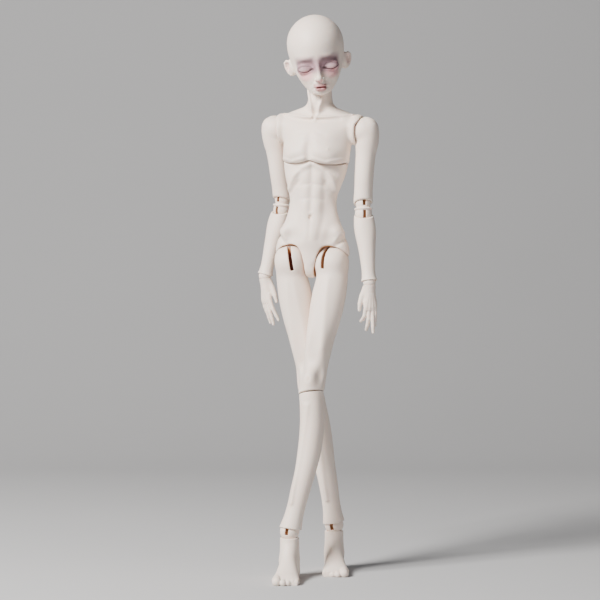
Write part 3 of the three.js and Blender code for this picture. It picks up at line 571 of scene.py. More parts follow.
CALF = (
    (-0.06, 0.405, 0.405, 0.5, 0.3), (-0.035, 0.405, 0.405, 0.5, 0.31), (0.02, 0.405, 0.395, 0.47, 0.35),
    (0.1, 0.425, 0.375, 0.43, 0.44), (0.2, 0.445, 0.355, 0.38, 0.52), (0.3, 0.445, 0.34, 0.37, 0.53),
    (0.42, 0.425, 0.33, 0.36, 0.48), (0.56, 0.37, 0.31, 0.345, 0.39), (0.7, 0.32, 0.315, 0.33, 0.32),
    (0.82, 0.3, 0.3, 0.31, 0.3), (0.9, 0.315, 0.315, 0.32, 0.32), (0.95, 0.345, 0.345, 0.35, 0.35),
    (0.98, 0.365, 0.365, 0.37, 0.37))
# How far each calf's middle lies outwards of a straight line, as a share of its width.
CALF_BEND = {"l": 0.17, "r": -0.05}
UPPER_ARM = (
    (-0.19, 0.16, 0.04, 0.15, 0.15), (-0.165, 0.36, 0.12, 0.33, 0.33), (-0.11, 0.54, 0.24, 0.5, 0.5),
    (-0.02, 0.63, 0.36, 0.59, 0.59), (0.08, 0.65, 0.42, 0.6, 0.6), (0.18, 0.63, 0.42, 0.56, 0.57),
    (0.3, 0.56, 0.41, 0.5, 0.52), (0.46, 0.48, 0.41, 0.47, 0.49), (0.64, 0.44, 0.42, 0.46, 0.47),
    (0.82, 0.42, 0.42, 0.44, 0.45), (0.96, 0.43, 0.44, 0.44, 0.46), (1.06, 0.42, 0.43, 0.43, 0.45))
FOREARM = (
    (-0.08, 0.43, 0.43, 0.42, 0.44), (-0.045, 0.44, 0.44, 0.43, 0.45), (0.05, 0.48, 0.48, 0.46, 0.5),
    (0.16, 0.52, 0.5, 0.47, 0.53), (0.3, 0.52, 0.48, 0.46, 0.52), (0.46, 0.47, 0.42, 0.43, 0.46),
    (0.62, 0.41, 0.37, 0.39, 0.41), (0.76, 0.36, 0.34, 0.35, 0.36), (0.88, 0.34, 0.34, 0.33, 0.33),
    (0.95, 0.37, 0.37, 0.35, 0.35), (0.985, 0.41, 0.41, 0.39, 0.39))
# Sections of the trunk and head: height, half the width, and the front and back reach, in millimetres.
PELVIS = (
    (-16.4, 1.6, 4.4, 8), (-15.8, 4.2, 6.4, 11), (-14, 8, 9.2, 14), (-10.5, 15, 12, 17),
    (-5, 33, 14, 20.5), (5, 39.5, 16.2, 22), (12, 41, 17.6, 22), (21.8, 39.3, 19, 20.3),
    (33, 35.6, 19.3, 18.3), (46, 30.4, 19, 16.6), (56, 27.3, 18.4, 16.2), (66.5, 26, 18, 16.6),
    (77, 27.2, 18.3, 17.7), (90, 31.5, 19.2, 18.8), (101, 34.6, 19.6, 19.8), (116, 36.6, 19.8, 20.2))
CHEST = (
    (-8, 36.6, 23.4, 23), (-2.8, 37.2, 24.2, 23.5), (5.6, 37.8, 26, 24.4), (15, 38.2, 27.2, 25),
    (25, 39, 27, 25.6), (33.7, 41.6, 25, 25), (42, 45, 21.8, 23), (49.5, 45, 18, 20),
    (55, 38, 15.4, 17.3), (59, 27.5, 13.8, 15.6), (62.2, 19.3, 12.8, 14.5), (66.4, 14.9, 12.4, 13.6),
    (73, 13.1, 12.1, 12.5), (80.4, 12.5, 11.8, 12.3), (87, 11.2, 10.8, 11))
SKULL = (
    (-12.6, 4, 27, -21), (-11.8, 7.4, 30, -17), (-10.2, 11.4, 32.4, -6), (-7.4, 14.8, 34.2, 7),
    (-1.6, 19.7, 35.2, 18.2), (5.7, 23.6, 35.2, 27.4), (13, 26.6, 34.6, 33.4), (20.4, 28.6, 34.2, 38),
    (27.7, 30.2, 35.2, 40.3), (36.7, 31, 35.6, 41), (45.6, 30.1, 34, 39.5), (53.8, 26.9, 30, 35.4),
    (60.2, 21.9, 24.6, 29), (64.6, 16.6, 18.6, 22), (66.9, 12.5, 14.1, 16.5), (68.6, 7.8, 8.9, 10.4),
    (69.5, 3, 3.4, 4), (69.65, 1, 1, 1.2))
# The leg opening's edge in shares of the hip ball, from the crotch over the arch to the hip.
ARCH = (
    (-1.17, -3.2), (-1.17, -1.3), (-1.12, -0.6), (-1.0, -0.05), (-0.86, 0.4), (-0.6, 0.8), (-0.25, 0.98),
    (0.15, 1.0), (0.6, 0.9), (1.0, 0.66), (1.4, 0.48), (1.9, 0.38), (3.2, 0.3), (3.2, -3.2))


def smoothed(points, steps=3):
    """More points along a smooth line through the given ones."""
    knots = np.arange(len(points))
    fine_knots = np.linspace(0, len(points) - 1, (len(points) - 1) * steps + 1)
    return list(zip(*(curve(fine_knots, knots, [p[k] for p in points]) for k in (0, 1))))


def arch_opening(centre, radius, tilt):
    """The leg openings of both sides, which run through the pelvis on a slope."""
    edge = [(centre + x * radius, z * radius) for x, z in smoothed(ARCH)]

    def distance(x, y, z):
        across, rise = np.broadcast_arrays(np.abs(x), z * math.cos(tilt) + y * math.sin(tilt))
        best = np.full(rise.shape, FAR * FAR, np.float32)
        odd = np.zeros(rise.shape, bool)
        for (ax, az), (bx, bz) in zip(edge, edge[1:] + edge[:1]):
            dx, dz = bx - ax, bz - az
            px, pz = across - ax, rise - az
            t = np.clip((px * dx + pz * dz) / (dx * dx + dz * dz + SPECK), 0, 1)
            best = np.minimum(best, (px - t * dx) ** 2 + (pz - t * dz) ** 2)
            if az != bz:
                crosses = (rise >= min(az, bz)) & (rise < max(az, bz))
                odd ^= crosses & (px < pz * dx / dz)
        return np.where(odd, -1, 1) * np.sqrt(best)
    return [-FAR] * 3, [FAR, FAR, radius * 1.3 + 12], distance


def chest_edge(x, lift=0.0):
    """Height of the chest's lower edge in the chest's own frame: two arcs under the breast."""
    aside = np.abs(x)
    return lift + 3.2 * np.exp(-(aside / 8) ** 2) - 1.4 + 4.5 * np.clip((aside - 24) / 14, 0, 1) ** 2


def hip_head(across, room=0.0):
    """The rounded top of a thigh, about its hip joint, or the socket that holds it."""
    ball_size = sizes()["hip_ball"]
    wide, high, power = ball_size + 2.4 + room, ball_size + 3.8 + room, 2.6

    def distance(x, y, z):
        aside = np.abs(x - across) / wide
        round_axis = np.sqrt(y * y + z * z) / high
        return ((aside ** power + round_axis ** power) ** (1 / power) - 1) * wide
    return [across - wide, -high, -high], [across + wide, high, high], distance


def body_torso():
    """Abdomen and pelvis in one casting, with the dome that goes up into the chest."""
    s = sizes()
    pose = bpy.context.scene.doll_pose
    hip = span("hip_swing_l", "hip_swing_r") / 2
    frames = state["frames"]
    rise = (frames["chest"].translation - frames["torso"].translation).length / MILLI
    clay = Clay((-44, -26, -20), (44, 27, rise + 23), s["grain"])
    # The waist bulges a little towards the doll's right.
    slack = [1.6 * math.exp(-((z - 72) / 26) ** 2) for z, *_ in PELVIS]
    clay.join(loft([(z, w - 0.8 * d, w + d, f, b) for (z, w, f, b), d in zip(PELVIS, slack)]))
    clay.swells((
        (0, -18, 28, 14, 9, 11, 3.0), (30, -13, 34, 7, 9, 7, 4.4), (20, -18, 26, 8, 9, 8, -3.2),
        (13, -20, 12, 6, 9, 6, -1.2), (0, -21, -4, 8, 9, 12, 1.6), (36, -6, 14, 9, 10, 9, 0.8),
        (19, -17, 60, 6, 9, 14, -2.6), (8, -19, 62, 5.5, 8, 7, 0.9), (8, -19, 78, 5.5, 8, 6.5, 1.1),
        (8, -19, 93, 5.5, 8, 6.5, 1.1), (27, -12, 92, 7, 9, 6, 1.3), (22, -15, 78, 6, 8, 5, 0.9),
        (12, 19, 60, 8, 9, 22, 1.6), (16, 20, 2, 13, 12, 13, 2.8)))
    clay.strokes((
        ([(0, -19, 104), (0, -18, 78), (0, -19, 54)], 3.0, -1.3, 9),
        ([(0, -19, 44), (0, -19, 26)], 2.2, -0.5, 9),
        ([(14.5, -17, 100), (14, -17, 72), (14, -17, 48), (10, -18, 26)], 3.6, -1.2, 9),
        ([(3, -19, 107), (11, -18, 103), (21, -16, 94), (28, -11, 80)], 3.2, 2.6, 9),
        ([(15, -17, 88), (24, -14, 76)], 2.3, -1.2, 9), ([(18, -17, 78), (27, -12, 66)], 2.3, -0.9, 9),
        ([(3, -18, 85.5), (13, -17, 84)], 1.8, -0.6, 9), ([(3, -18, 70), (13, -17, 68.5)], 1.8, -0.5, 9),
        ([(38, -5, 30), (27, -16, 18), (15, -19, 8), (7, -19, -3)], 2.6, -2.2, 10),
        ([(37, -6, 36), (28, -14, 25)], 2.2, 1.0, 9),
        ([(0, 16, 100), (0, 16, 40)], 3.0, -2.4, 9),
        ([(0, 22, 10), (0, 20, -16)], 2.2, -3.6, 10)))
    clay.cut(egg((0, -20.2, 49.5), (1.7, 4.6, 3.0)), 0.9)
    clay.swell((0, -19, 54), (2.4, 6, 1.4), 1.0)
    clay.swell((0, -19, 49), (4.6, 6, 5.0), -0.9)
    edge = frames["chest"].inverted() @ frames["torso"]
    turn = edge.to_3x3()
    shift = edge.translation / MILLI

    def above(x, y, z):
        px = turn[0][0] * x + turn[0][1] * y + turn[0][2] * z + shift[0]
        pz = turn[2][0] * x + turn[2][1] * y + turn[2][2] * z + shift[2]
        return chest_edge(px, -s["seam"]) - pz
    clay.cut(everywhere(above), 0.6, outer=True)
    clay.cut(everywhere(lambda x, y, z: rise + 3.4 - z + 0 * x), 0.6, outer=True)
    clay.join(egg((0, 0, rise), (32, 19.6, 20.6)))
    # From here on, what is cut away is hollow, and its walls get painted shade.
    clay.whole = clay.value.copy()
    clay.cut(arch_opening(hip, s["hip_ball"], pose.arch_tilt), 1.1)
    for side in (1, -1):
        clay.cut(hip_head(side * hip, s["gap"]), 0.5)
    clay.piece("torso", "torso")


def body_chest():
    """Chest and neck in one casting."""
    s = sizes()
    frames = state["frames"]
    neck, shoulder = (frames["chest"].inverted() @ frames[body].translation / MILLI
                      for body in ("head", "upper_arm_l"))
    clay = Clay((-50, -34, -9), (50, 32, neck[2] + 11), s["grain"])
    clay.join(loft([(z, w, w, f, b, lag) for (z, w, f, b), lag in zip(
        CHEST, (0, 0, 0, 0.9, 1.9, 3.3, 4.6, 5.6, 5.5, 5.1, 4.4, 3.9, 2.8, 1.2, 0))]))
    clay.join(tube([(0, 0, 60), (0, neck[1], neck[2])], (12.2, s["neck_ball"] - 0.4)), 3)
    clay.join(ball(neck, s["neck_ball"]), 1.0)
    for side in (1, -1):
        clay.join(egg((side * (shoulder[0] - 8), shoulder[1], shoulder[2] + 0.5), (10, 16.6, 17.2)), 4)
        clay.cut(everywhere(lambda x, y, z: shoulder[0] - 7.5 - side * x + 0 * y
                            + np.clip(z - shoulder[2] - 5, 0, 12) * 0.6), 0.8, outer=True)
    clay.swells((
        (18, -25, 10, 15, 12, 8, 3.8), (25, -24, 5, 8, 9, 5, 1.4), (0, -26, 12, 4.5, 9, 18, -3.4),
        (34, -18, 26, 8, 10, 8, -0.9), (0, -16, 53.5, 4, 9, 4.5, -3.6), (16, -16, 57, 10, 10, 4, -2.2),
        (30, -12, 57, 8, 9, 4, -1.4), (37, -12, 43, 6, 9, 7, 1.2), (22, -28, 14.5, 1.5, 6, 1.5, 0.9),
        (18, 20, 34, 12, 10, 14, 2.4), (0, 24, 30, 4, 9, 26, -2.4), (27, 6, 57, 12, 9, 5, 1.4)))
    clay.strokes((
        ([(3.2, -16, 49.8), (14, -18, 50.4), (26, -16, 52.6), (40, -7, 55)], 1.8, 3.6, 9),
        ([(4, -17, 45.8), (15, -19, 46.2), (28, -16, 48.2)], 2.0, -2.2, 9),
        ([(2.2, -14, 50.5), (5.2, -13.6, 62), (9.8, -11, 76), (12.8, -5, 90)], 2.3, 3.2, 5),
        ([(6, -26, 33), (16, -26, 30)], 2.0, -0.6, 9), ([(5, -26, 24), (15, -26, 22)], 2.0, -0.4, 9),
        ([(4.5, -26, 3.6), (20, -26, -0.2), (35, -19, 3.8)], 2.0, 1.6, 9)))
    clay.swell((0, -12.5, 76), (2.8, 6, 7), 1.7)
    clay.swell((0, -14.5, 59), (3.6, 6, 6), -1.8)
    # From here on, what is cut away is hollow, and its walls get painted shade.
    clay.whole = clay.value.copy()
    clay.cut(([-FAR] * 3, [FAR, FAR, 12], lambda x, y, z: z - chest_edge(x, s["seam"] / 2) + 0 * y), 0.7,
             outer=True)
    clay.cut(egg((0, 0, 0), (33.5, 21.4, 22.4)), 0.3)
    for side in (1, -1):
        at = (side * shoulder[0], shoulder[1], shoulder[2])
        clay.cut(ball(at, s["shoulder_ball"] + s["gap"]), 0.8)
    clay.cut(tube([(0, neck[1], neck[2] - 22), (0, neck[1], neck[2] + 20)], (4, 4)), 0.4)
    clay.piece("chest", "chest")


def add_ear(clay, side):
    """An ear: a blade that grows out of the skull, its bowl, rim and lobe."""
    outwards, down = (side * math.radians(degrees) for degrees in (34, 10))
    turn = Matrix.Rotation(outwards, 3, "Z") @ Matrix.Rotation(down, 3, "Y")
    clay.join(egg((side * 28.4, 2.6, 15.4), (4.6, 5.4, 8.4)), 3.5)
    clay.join(egg((side * 31.4, 4.6, 16.2), (5.4, 2.4, 8.0), turn), 2.6)
    rim = [(side * x, y, z) for x, y, z in (
        (29.4, 0.6, 19.4), (31.2, 1.4, 22.8), (34.0, 3.6, 23.6), (36.0, 5.6, 21.2), (35.6, 5.8, 16.0),
        (33.2, 4.2, 10.8), (30.4, 2.2, 8.6))]
    clay.join(tube(rim, (1.0, 1.3, 1.4, 1.5, 1.4, 1.5, 1.7)), 1.4)
    clay.cut(egg((side * 32.6, 2.2, 17.4), (2.9, 1.7, 4.6), turn), 1.0, outer=True)


def whole_head():
    """Skull and face, without the hollow, in millimetres about the top of the neck."""
    s = sizes()
    clay = Clay((-42, -47, -17), (42, 45, 70), s["fine_grain"])
    clay.join(loft([(z, w, w, f, b) for z, w, f, b in SKULL]))
    for side in (1, -1):
        add_ear(clay, side)
    clay.swells((
        (13.5, -33, 19.6, 9.5, 9, 6.5, -2.4), (0, -36, 19, 4, 8, 7, -0.8),
        (15, -34, 28.4, 10, 9, 3.6, 1.3), (18, -29, 7, 8, 9, 5, 1.5),
        (15, -31, -3, 6, 9, 7, -1.3), (26, -20, 22, 6, 12, 12, -1.0),
        (0, -36, 46, 16, 9, 14, 0.6), (22, -18, -2, 7, 12, 8, -0.5)))
    for side in (1, -1):
        clay.join(egg((side * 14.0, -25.7, 17.4), (9.0, 7.2, 6.0)), 3.6)
        clay.stroke([(side * 5.4, -34.5, 18.6), (side * 9, -35, 22.6), (side * 15, -34.5, 23.6),
                     (side * 21, -32, 21.4)], 1.3, 0.7, 4)
    nose = [(0, -32.6, 26), (0, -35.4, 19), (0, -39.0, 12), (0, -41.0, 8.0)]
    clay.join(tube(nose, (3.2, 2.6, 2.7, 2.9)), 3.4)
    clay.join(ball((0, -41.2, 7.2), 2.9), 1.6)
    for side in (1, -1):
        clay.join(egg((side * 3.7, -38.2, 6.4), (2.1, 3.0, 2.2)), 1.3)
        clay.cut(egg((side * 1.9, -40.2, 4.5), (1.0, 1.7, 0.9)), 0.5, outer=True)
    clay.join(egg((0, -35.1, 1.4), (5.4, 3.2, 4.0)), 3)
    clay.swell((0, -38, 2.4), (1.2, 5, 2.0), -0.8)
    for side in (1, -1):
        clay.join(egg((side * 2.4, -36.5, -1.2), (4.6, 2.5, 1.5)), 1.0)
        clay.join(egg((side * 2.0, -36.0, -4.7), (3.8, 2.7, 1.9)), 1.0)
    clay.strokes((
        ([(0, -38.4, -2.9), (2.6, -38, -2.6), (7.4, -36.4, -4.0)], 0.65, -1.4, 4),
        ([(7.4, -36, -3.6), (8.6, -34, -5.4)], 1.1, -0.8, 4),
        ([(5.2, -37, 5.4), (9.4, -34, 0.6)], 1.4, -0.45, 5)))
    clay.swell((0, -37, -7.6), (4.5, 5, 1.5), -1.0)
    clay.join(ball((0, -29.4, -8.0), 4.6), 4)
    clay.strokes((
        ([(6.6, -36, 17.0), (9.5, -36, 15.4), (14, -36, 14.4), (19, -35, 15.4), (22.6, -32, 18.0)],
         0.6, -1.1, 6),
        ([(6.8, -36, 20.0), (10.6, -36, 22.2), (15.2, -36, 22.8), (20, -34, 21.2), (23, -32, 18.8)],
         0.7, -0.7, 6),
        ([(8, -36, 13.4), (14, -35, 11.2), (20, -33, 12.6)], 1.3, -0.5, 6)))
    return clay


def body_head():
    """The head, and the cap that closes it behind."""
    s = sizes()
    seam = Matrix.Rotation(math.radians(10), 3, "X")
    behind = Vector((0, 17.7, 32.6))
    normal = seam @ Vector((0, 1, 0))
    base = whole_head()
    solid = base.value.copy()
    frames = state["frames"]
    down = frames["head"].to_3x3().inverted() @ frames["chest"].to_3x3() @ Vector((0, 0, -1))
    for name, way in (("head", -1), ("head_cap", 1)):
        base.value = solid.copy()
        # Cuts from here on leave walls with painted shade.
        base.whole = solid

        def half(x, y, z):
            across = normal[0] * x + normal[1] * (y - behind[1]) + normal[2] * (z - behind[2])
            return s["seam"] * 0.2 - way * across
        base.keep(everywhere(half), 0.5)
        base.cut(egg((0, 3, 38), (26.5, 33.5, 24)), 0.5)
        if way < 0:
            well = [tuple(down * d) for d in (-2.0, 8.0, 22.0)]
            base.cut(tube(well, (11.4, 13.6, 17.6)), 0.8)
            base.cut(ball((0, 0, 0), s["neck_ball"] + s["gap"] + 0.2), 0.5)
        base.piece(name, "head", finish="face")


def body_upper_arm():
    """The upper arms, with a half-round head that turns in the chest's socket."""
    s = sizes()
    pose = bpy.context.scene.doll_pose
    drop = span("shoulder_swing_l", "elbow_upper_l")
    width = s["arm_width"]
    bottom = -drop - s["flange_top"] + s["seam"] / 2
    clay = Clay((-17, -17, bottom - 8), (18, 17, 18), s["grain"])
    clay.join(limb(UPPER_ARM, drop, width))
    clay.join(ball((0, 0, 0), s["shoulder_ball"] - 0.6), 1.5)
    clay.swells(((0, -12, -46, 8, 7, 16, 0.8), (5, 12, -40, 7, 7, 16, 0.7), (11, 0, -26, 6, 9, 8, -0.5)))
    clay.cut(ball((0, 0, -drop), s["elbow_ball"] + s["gap"]), 0.4)
    clay.cut(beyond(-pose.elbow_tilt, width * 0.45, bottom, -1), 0.7, outer=True)
    clay.cut(bore(0, -drop, 2.2), 0.3)
    clay.cut(tube([(-20, 0, 0), (0, 0, 0)], (3.4, 3.0)), 0.5)
    clay.pair("upper_arm_", "upper_arm_")


def slot_cut(clay, half, low, high, floor, turn=None):
    """Cuts a cord's slot from its floor out to the front."""
    clay.cut(box((-half, -40, low), (half, floor, high), turn), 0.4)


def body_elbow():
    """The elbows: two balls with a flange between them, slotted in front."""
    s = sizes()
    reach = span("elbow_upper_l", "elbow_lower_l")
    flange = s["arm_width"] * 0.43 - 0.3
    brim = flange - 0.8
    clay = Clay((-12, -12, -reach - 11), (12, 12, 10), s["fine_grain"])
    clay.join(ball((0, 0, 0), s["elbow_ball"]))
    clay.join(ball((0, 0, -reach), s["elbow_low_ball"]), 0.8)
    rim = ((-s["flange_low"] - 0.1, brim), (-6.6, flange), (-5.7, flange), (0.2 - s["flange_top"], brim))
    clay.join(loft([(z, *[wide] * 4) for z, wide in rim]), 1.6)
    half = s["slot"] / 2
    slot_cut(clay, half - 0.3, -2.6, 20, -4.2)
    slot_cut(clay, half - 0.3, -40, -8.0, -5.0)
    clay.cut(bore(20, -40, half), 0.3)
    clay.pair("elbow_", "elbow_")


def body_forearm():
    """The forearms, from the rim below the elbow to the cuff above the wrist."""
    s = sizes()
    pose = bpy.context.scene.doll_pose
    drop = span("elbow_lower_l", "wrist_turn_l")
    width = s["forearm_width"]
    top = span("elbow_upper_l", "elbow_lower_l") - s["flange_low"] - s["seam"] / 2
    clay = Clay((-13, -13, -drop - 1), (13, 13, 8), s["fine_grain"])
    clay.join(limb(FOREARM, drop, width))
    clay.swells(((9, -5, -16, 6, 6, 12, 0.8), (-8, 3, -18, 5, 6, 12, 0.5), (0, -9, -50, 4, 6, 16, -0.3)))
    clay.cut(ball((0, 0, 0), s["elbow_low_ball"] + s["gap"]), 0.4)
    clay.cut(beyond(pose.elbow_tilt * 1.15, width * 0.45, top, 1), 0.7, outer=True)
    clay.cut(ball((0, 0, -drop), s["wrist_ball"] + s["gap"]), 0.5)
    clay.cut(bore(0, -drop, 2.0), 0.3)
    clay.pair("forearm_", "forearm_")


def body_balls():
    """The wrist and ankle balls, slotted for their hooks, and the knees' double balls."""
    s = sizes()
    room = s["wire"] / 2 + 0.3
    wrist = Clay((-8, -8, -8), (8, 8, 8), s["fine_grain"] * 0.8)
    wrist.join(ball((0, 0, 0), s["wrist_ball"]))
    wrist.cut(box((-room, -3.1, -10), (room, 3.1, 10)), 0.3)
    wrist.pair("wrist_ball_", "wrist_")
    half = s["slot"] / 2
    ankle = Clay((-12, -12, -12), (12, 12, 12), s["fine_grain"])
    ankle.join(ball((0, 0, 0), s["ankle_ball"]))
    ankle.cut(box((-room, -3.1, -14), (room, 3.1, 14)), 0.3)
    slot_cut(ankle, half, -s["ankle_ball"] * 0.42, 14, -5.6)
    ankle.pair("ankle_ball_", "ankle_")
    reach = span("knee_upper_l", "knee_lower_l")
    knee = Clay((-10, -10, -reach - 10), (10, 10, 10), s["fine_grain"])
    knee.join(ball((0, 0, 0), s["knee_ball"]))
    knee.join(ball((0, 0, -reach), s["knee_ball"]), 0.8)
    knee.cut(box((-half, 0, -reach * 0.3), (half, 12, 12)), 0.3)
    knee.cut(box((-half, 0, -reach - 12), (half, 12, -reach * 0.7)), 0.3)
    knee.cut(bore(20, -40, half), 0.3)
    knee.pair("knee_", "knee_")


def knee_roll(side):
    """The angle between a thigh and its knee, seen from in front, for the slope of the knee's seam."""
    frames = state["frames"]
    between = frames["thigh_" + side].to_3x3().inverted() @ frames["knee_" + side].to_3x3()
    return math.atan2(between[0][2], between[2][2])


def body_thigh():
    """The thighs, with the hip balls that the pelvis holds and their long slots."""
    s = sizes()
    pose = bpy.context.scene.doll_pose
    drop = span("hip_swing_l", "knee_upper_l")
    gap = span("knee_upper_l", "knee_lower_l")
    bottom = -drop - gap / 2 + s["seam"] / 3 - pose.seam_drop / MILLI
    half = s["slot"] / 2
    for side, mirrored in SIDES:
        clay = Clay((-19, -21, bottom - 9), (23, 22, 21), s["grain"] * 0.9)
        clay.join(limb(THIGH, drop, s["thigh_width"]))
        clay.join(hip_head(0), 3.5)
        clay.swells((
            (-1.5, -18, -drop + 5, 7, 8, 9.5, 3.0), (9.5, -14, -drop + 11, 5, 7, 11, -1.5),
            (-10, -14, -drop + 12, 3.5, 7, 9, -1.6), (0, -17, -drop + 25, 7, 8, 8, -1.5),
            (9, -15, -drop + 38, 6, 9, 16, 1.4), (-8, -15, -drop + 52, 6, 9, 20, 1.0)))
        clay.strokes((([(4, -18, -22), (7, -18, -60), (8, -16, -drop + 40)], 3.4, 0.6, 8),))
        clay.cut(ball((0, 0, -drop), s["knee_ball"] + s["gap"]), 0.4)
        slot = Matrix.Rotation(-pose.slot_turn, 3, "Z")
        slot_cut(clay, half, -s["hip_ball"] * 0.62, 40, -7.0, slot)
        clay.cut(bore(0, -drop, 2.4, 3.2), 0.3)
        roll = knee_roll(side) - pose.seam_rise
        clay.cut(beyond(0, 0, bottom, -1, roll), 0.3, outer=True)
        clay.cut(beyond(pose.seam_tilt, 0.6, bottom, -1, roll), 0.3, outer=True)
        clay.piece("thigh_" + side, "thigh_" + side, mirrored)


def body_calf():
    """The calves, from the knee's seam to the cuff above the ankle."""
    s = sizes()
    pose = bpy.context.scene.doll_pose
    drop = span("knee_lower_l", "ankle_bend_l")
    top = span("knee_upper_l", "knee_lower_l") / 2 - s["seam"] / 3 - pose.seam_drop / MILLI
    for side, mirrored in SIDES:
        clay = Clay((-16, -17, -drop - 1), (19, 19, 7), s["grain"] * 0.85)
        clay.join(limb(CALF, drop, s["calf_width"], CALF_BEND[side]))
        clay.swells((
            (0, -14, -3, 6, 7, 5, 0.5), (6, 12, -46, 6, 8, 18, 0.6), (-6, 12, -40, 6, 8, 18, 0.6)))
        clay.strokes((([(-2, -13, -14), (-2, -12, -70), (0, -11, -120)], 2.4, 1.0, 6),))
        clay.cut(ball((0, 0, 0), s["knee_ball"] + s["gap"]), 0.4)
        roll = -knee_roll(side) - pose.seam_rise
        clay.cut(beyond(0, 0, top, 1, roll), 0.3, outer=True)
        clay.cut(beyond(-pose.seam_tilt, 0.6, top, 1, roll), 0.3, outer=True)
        clay.cut(bore(0, -drop, 2.4), 0.3)
        clay.cut(ball((0, 0, -drop), s["ankle_ball"] + s["gap"]), 0.6)
        clay.piece("calf_" + side, "calf_" + side, mirrored)


# Sections of a foot from heel to toes, as shares: place along its length, half of its width, height
# of the instep. Then each toe: place across, tip and thickness.
FOOT = (
    (-0.215, 0.13, 0.2), (-0.19, 0.26, 0.42), (-0.13, 0.34, 0.66), (0, 0.345, 0.82), (0.12, 0.35, 0.74),
    (0.22, 0.38, 0.58), (0.36, 0.44, 0.4), (0.5, 0.485, 0.27), (0.62, 0.5, 0.19), (0.7, 0.47, 0.12))
TOES = (
    (-0.3, 0.78, 0.33), (-0.07, 0.775, 0.24), (0.11, 0.745, 0.225), (0.275, 0.705, 0.21),
    (0.415, 0.65, 0.19))


def body_foot():
    """The bare feet with their toes."""
    s = sizes()
    width, size = s["foot_width"], s["foot_length"]
    high = state["frames"]["foot_l"].translation[2] / MILLI
    sole, edge = -high, 5
    clay = Clay((-17, -64, sole - 1), (17, 19, -5), s["fine_grain"] * 1.1)
    reach, half_table, top_table = ([row[k] * whole for row in FOOT]
                                    for k, whole in enumerate((size, width, high)))

    def foot(x, y, z):
        half = curve(-y, reach, half_table)
        top = curve(-y, reach, top_table)
        arch = np.maximum(top - edge, 1)
        px, pz = x / half, np.maximum(z - sole - edge, 0) / arch
        near = np.sqrt(px * px + pz * pz) + TINY
        steep = np.sqrt((px / half) ** 2 + (pz / arch) ** 2) + TINY
        body = near * (near - 1) / steep
        under = np.maximum(edge - (z - sole), 0) * 0.16
        return np.maximum(np.maximum(body + under, -y - reach[-1]), y + reach[0])
    clay.join(([-17, -60, sole], [17, 18, 0], foot))
    clay.join(loft((
        (-4, 10.4, 10.4, 10.5, 10.6), (-12, 10.3, 10.3, 10.8, 11), (-22, 10.2, 10.2, 12.5, 12.5),
        (-34, 9.8, 9.8, 15, 14), (-42, 9, 9, 15, 14))), 5)
    clay.swells(((10, -4, sole + 20, 5, 6, 5, 0.7), (-12, -22, sole + 6, 5, 14, 6, -1.0)))
    for across, forward, thick in TOES:
        radius = thick * width / 2
        x, y = across * width, -forward * size + radius
        middle = [(x * 0.93, y + radius * 3.2, sole + radius * 1.25),
                  (x, y + radius, sole + radius * 1.15), (x, y + radius * 0.25, sole + radius * 0.86)]
        clay.join(tube(middle, (radius * 0.9, radius * 0.86, radius * 0.98)), 0.9)
        clay.stroke([(x - radius * 0.5, y - radius * 0.1, sole + radius * 1.75),
                     (x, y + radius * 0.45, sole + radius * 1.95),
                     (x + radius * 0.5, y - radius * 0.1, sole + radius * 1.75)], 0.45, -0.3, 1)
    for (here, _, thick), (there, _, thin) in zip(TOES, TOES[1:]):
        x = (here + thick / 2 + there - thin / 2) * width / 2
        clay.stroke([(x * 0.85, -0.5 * size, sole + 9), (x, -0.66 * size, sole + 5)], 1.0, -1.5, 2.5)
    clay.cut(box((-40, -90, sole - 20), (40, 40, sole)), 0.4, outer=True)
    clay.cut(box((-40, -40, -s["ankle_ball"] * 0.64), (40, 40, 20)), 0.9, outer=True)
    clay.cut(ball((0, 0, 0), s["ankle_ball"] + s["gap"]), 0.4)
    clay.cut(bore(0, -25, 2.2), 0.3)
    clay.pair("foot_", "foot_")


# Fingers of each hand: root across and down, then lengths, curls in degrees, thickness and spread.
HANDS = {
    "l": (
        ((-5.2, -27.5), (10, 7.5, 5.5), (24, 60, 74), 2.2, -5),
        ((-1.8, -29), (11.5, 8.5, 6), (12, 34, 46), 2.3, -1),
        ((1.8, -28.5), (11.5, 8.5, 6.5), (2, 6, 6), 2.25, 1),
        ((5.0, -26.5), (9, 7, 5.5), (4, 10, 8), 2.0, 0)),
    "r": (
        ((-5.2, -27.5), (10.5, 8, 5.5), (10, 20, 18), 2.2, -14),
        ((-1.8, -29), (11.5, 8.5, 6), (8, 12, 10), 2.3, -5),
        ((1.8, -28.5), (11, 8, 6), (10, 16, 16), 2.25, 1),
        ((5.0, -26.5), (8.5, 6.5, 5), (14, 26, 26), 2.0, 5)),
}


def chain(root, lengths, curls, spread):
    """The joints of a finger from inside the palm to its tip, curling towards the palm."""
    x, z = root
    y = 0.0
    points = [(x, y, z + 6), (x, y, z)]
    for size, curl in zip(lengths, curls):
        bend = math.radians(curl)
        x += size * math.sin(math.radians(spread)) * math.cos(bend)
        y += size * math.sin(bend)
        z -= size * math.cos(bend)
        points.append((x, y, z))
    return points


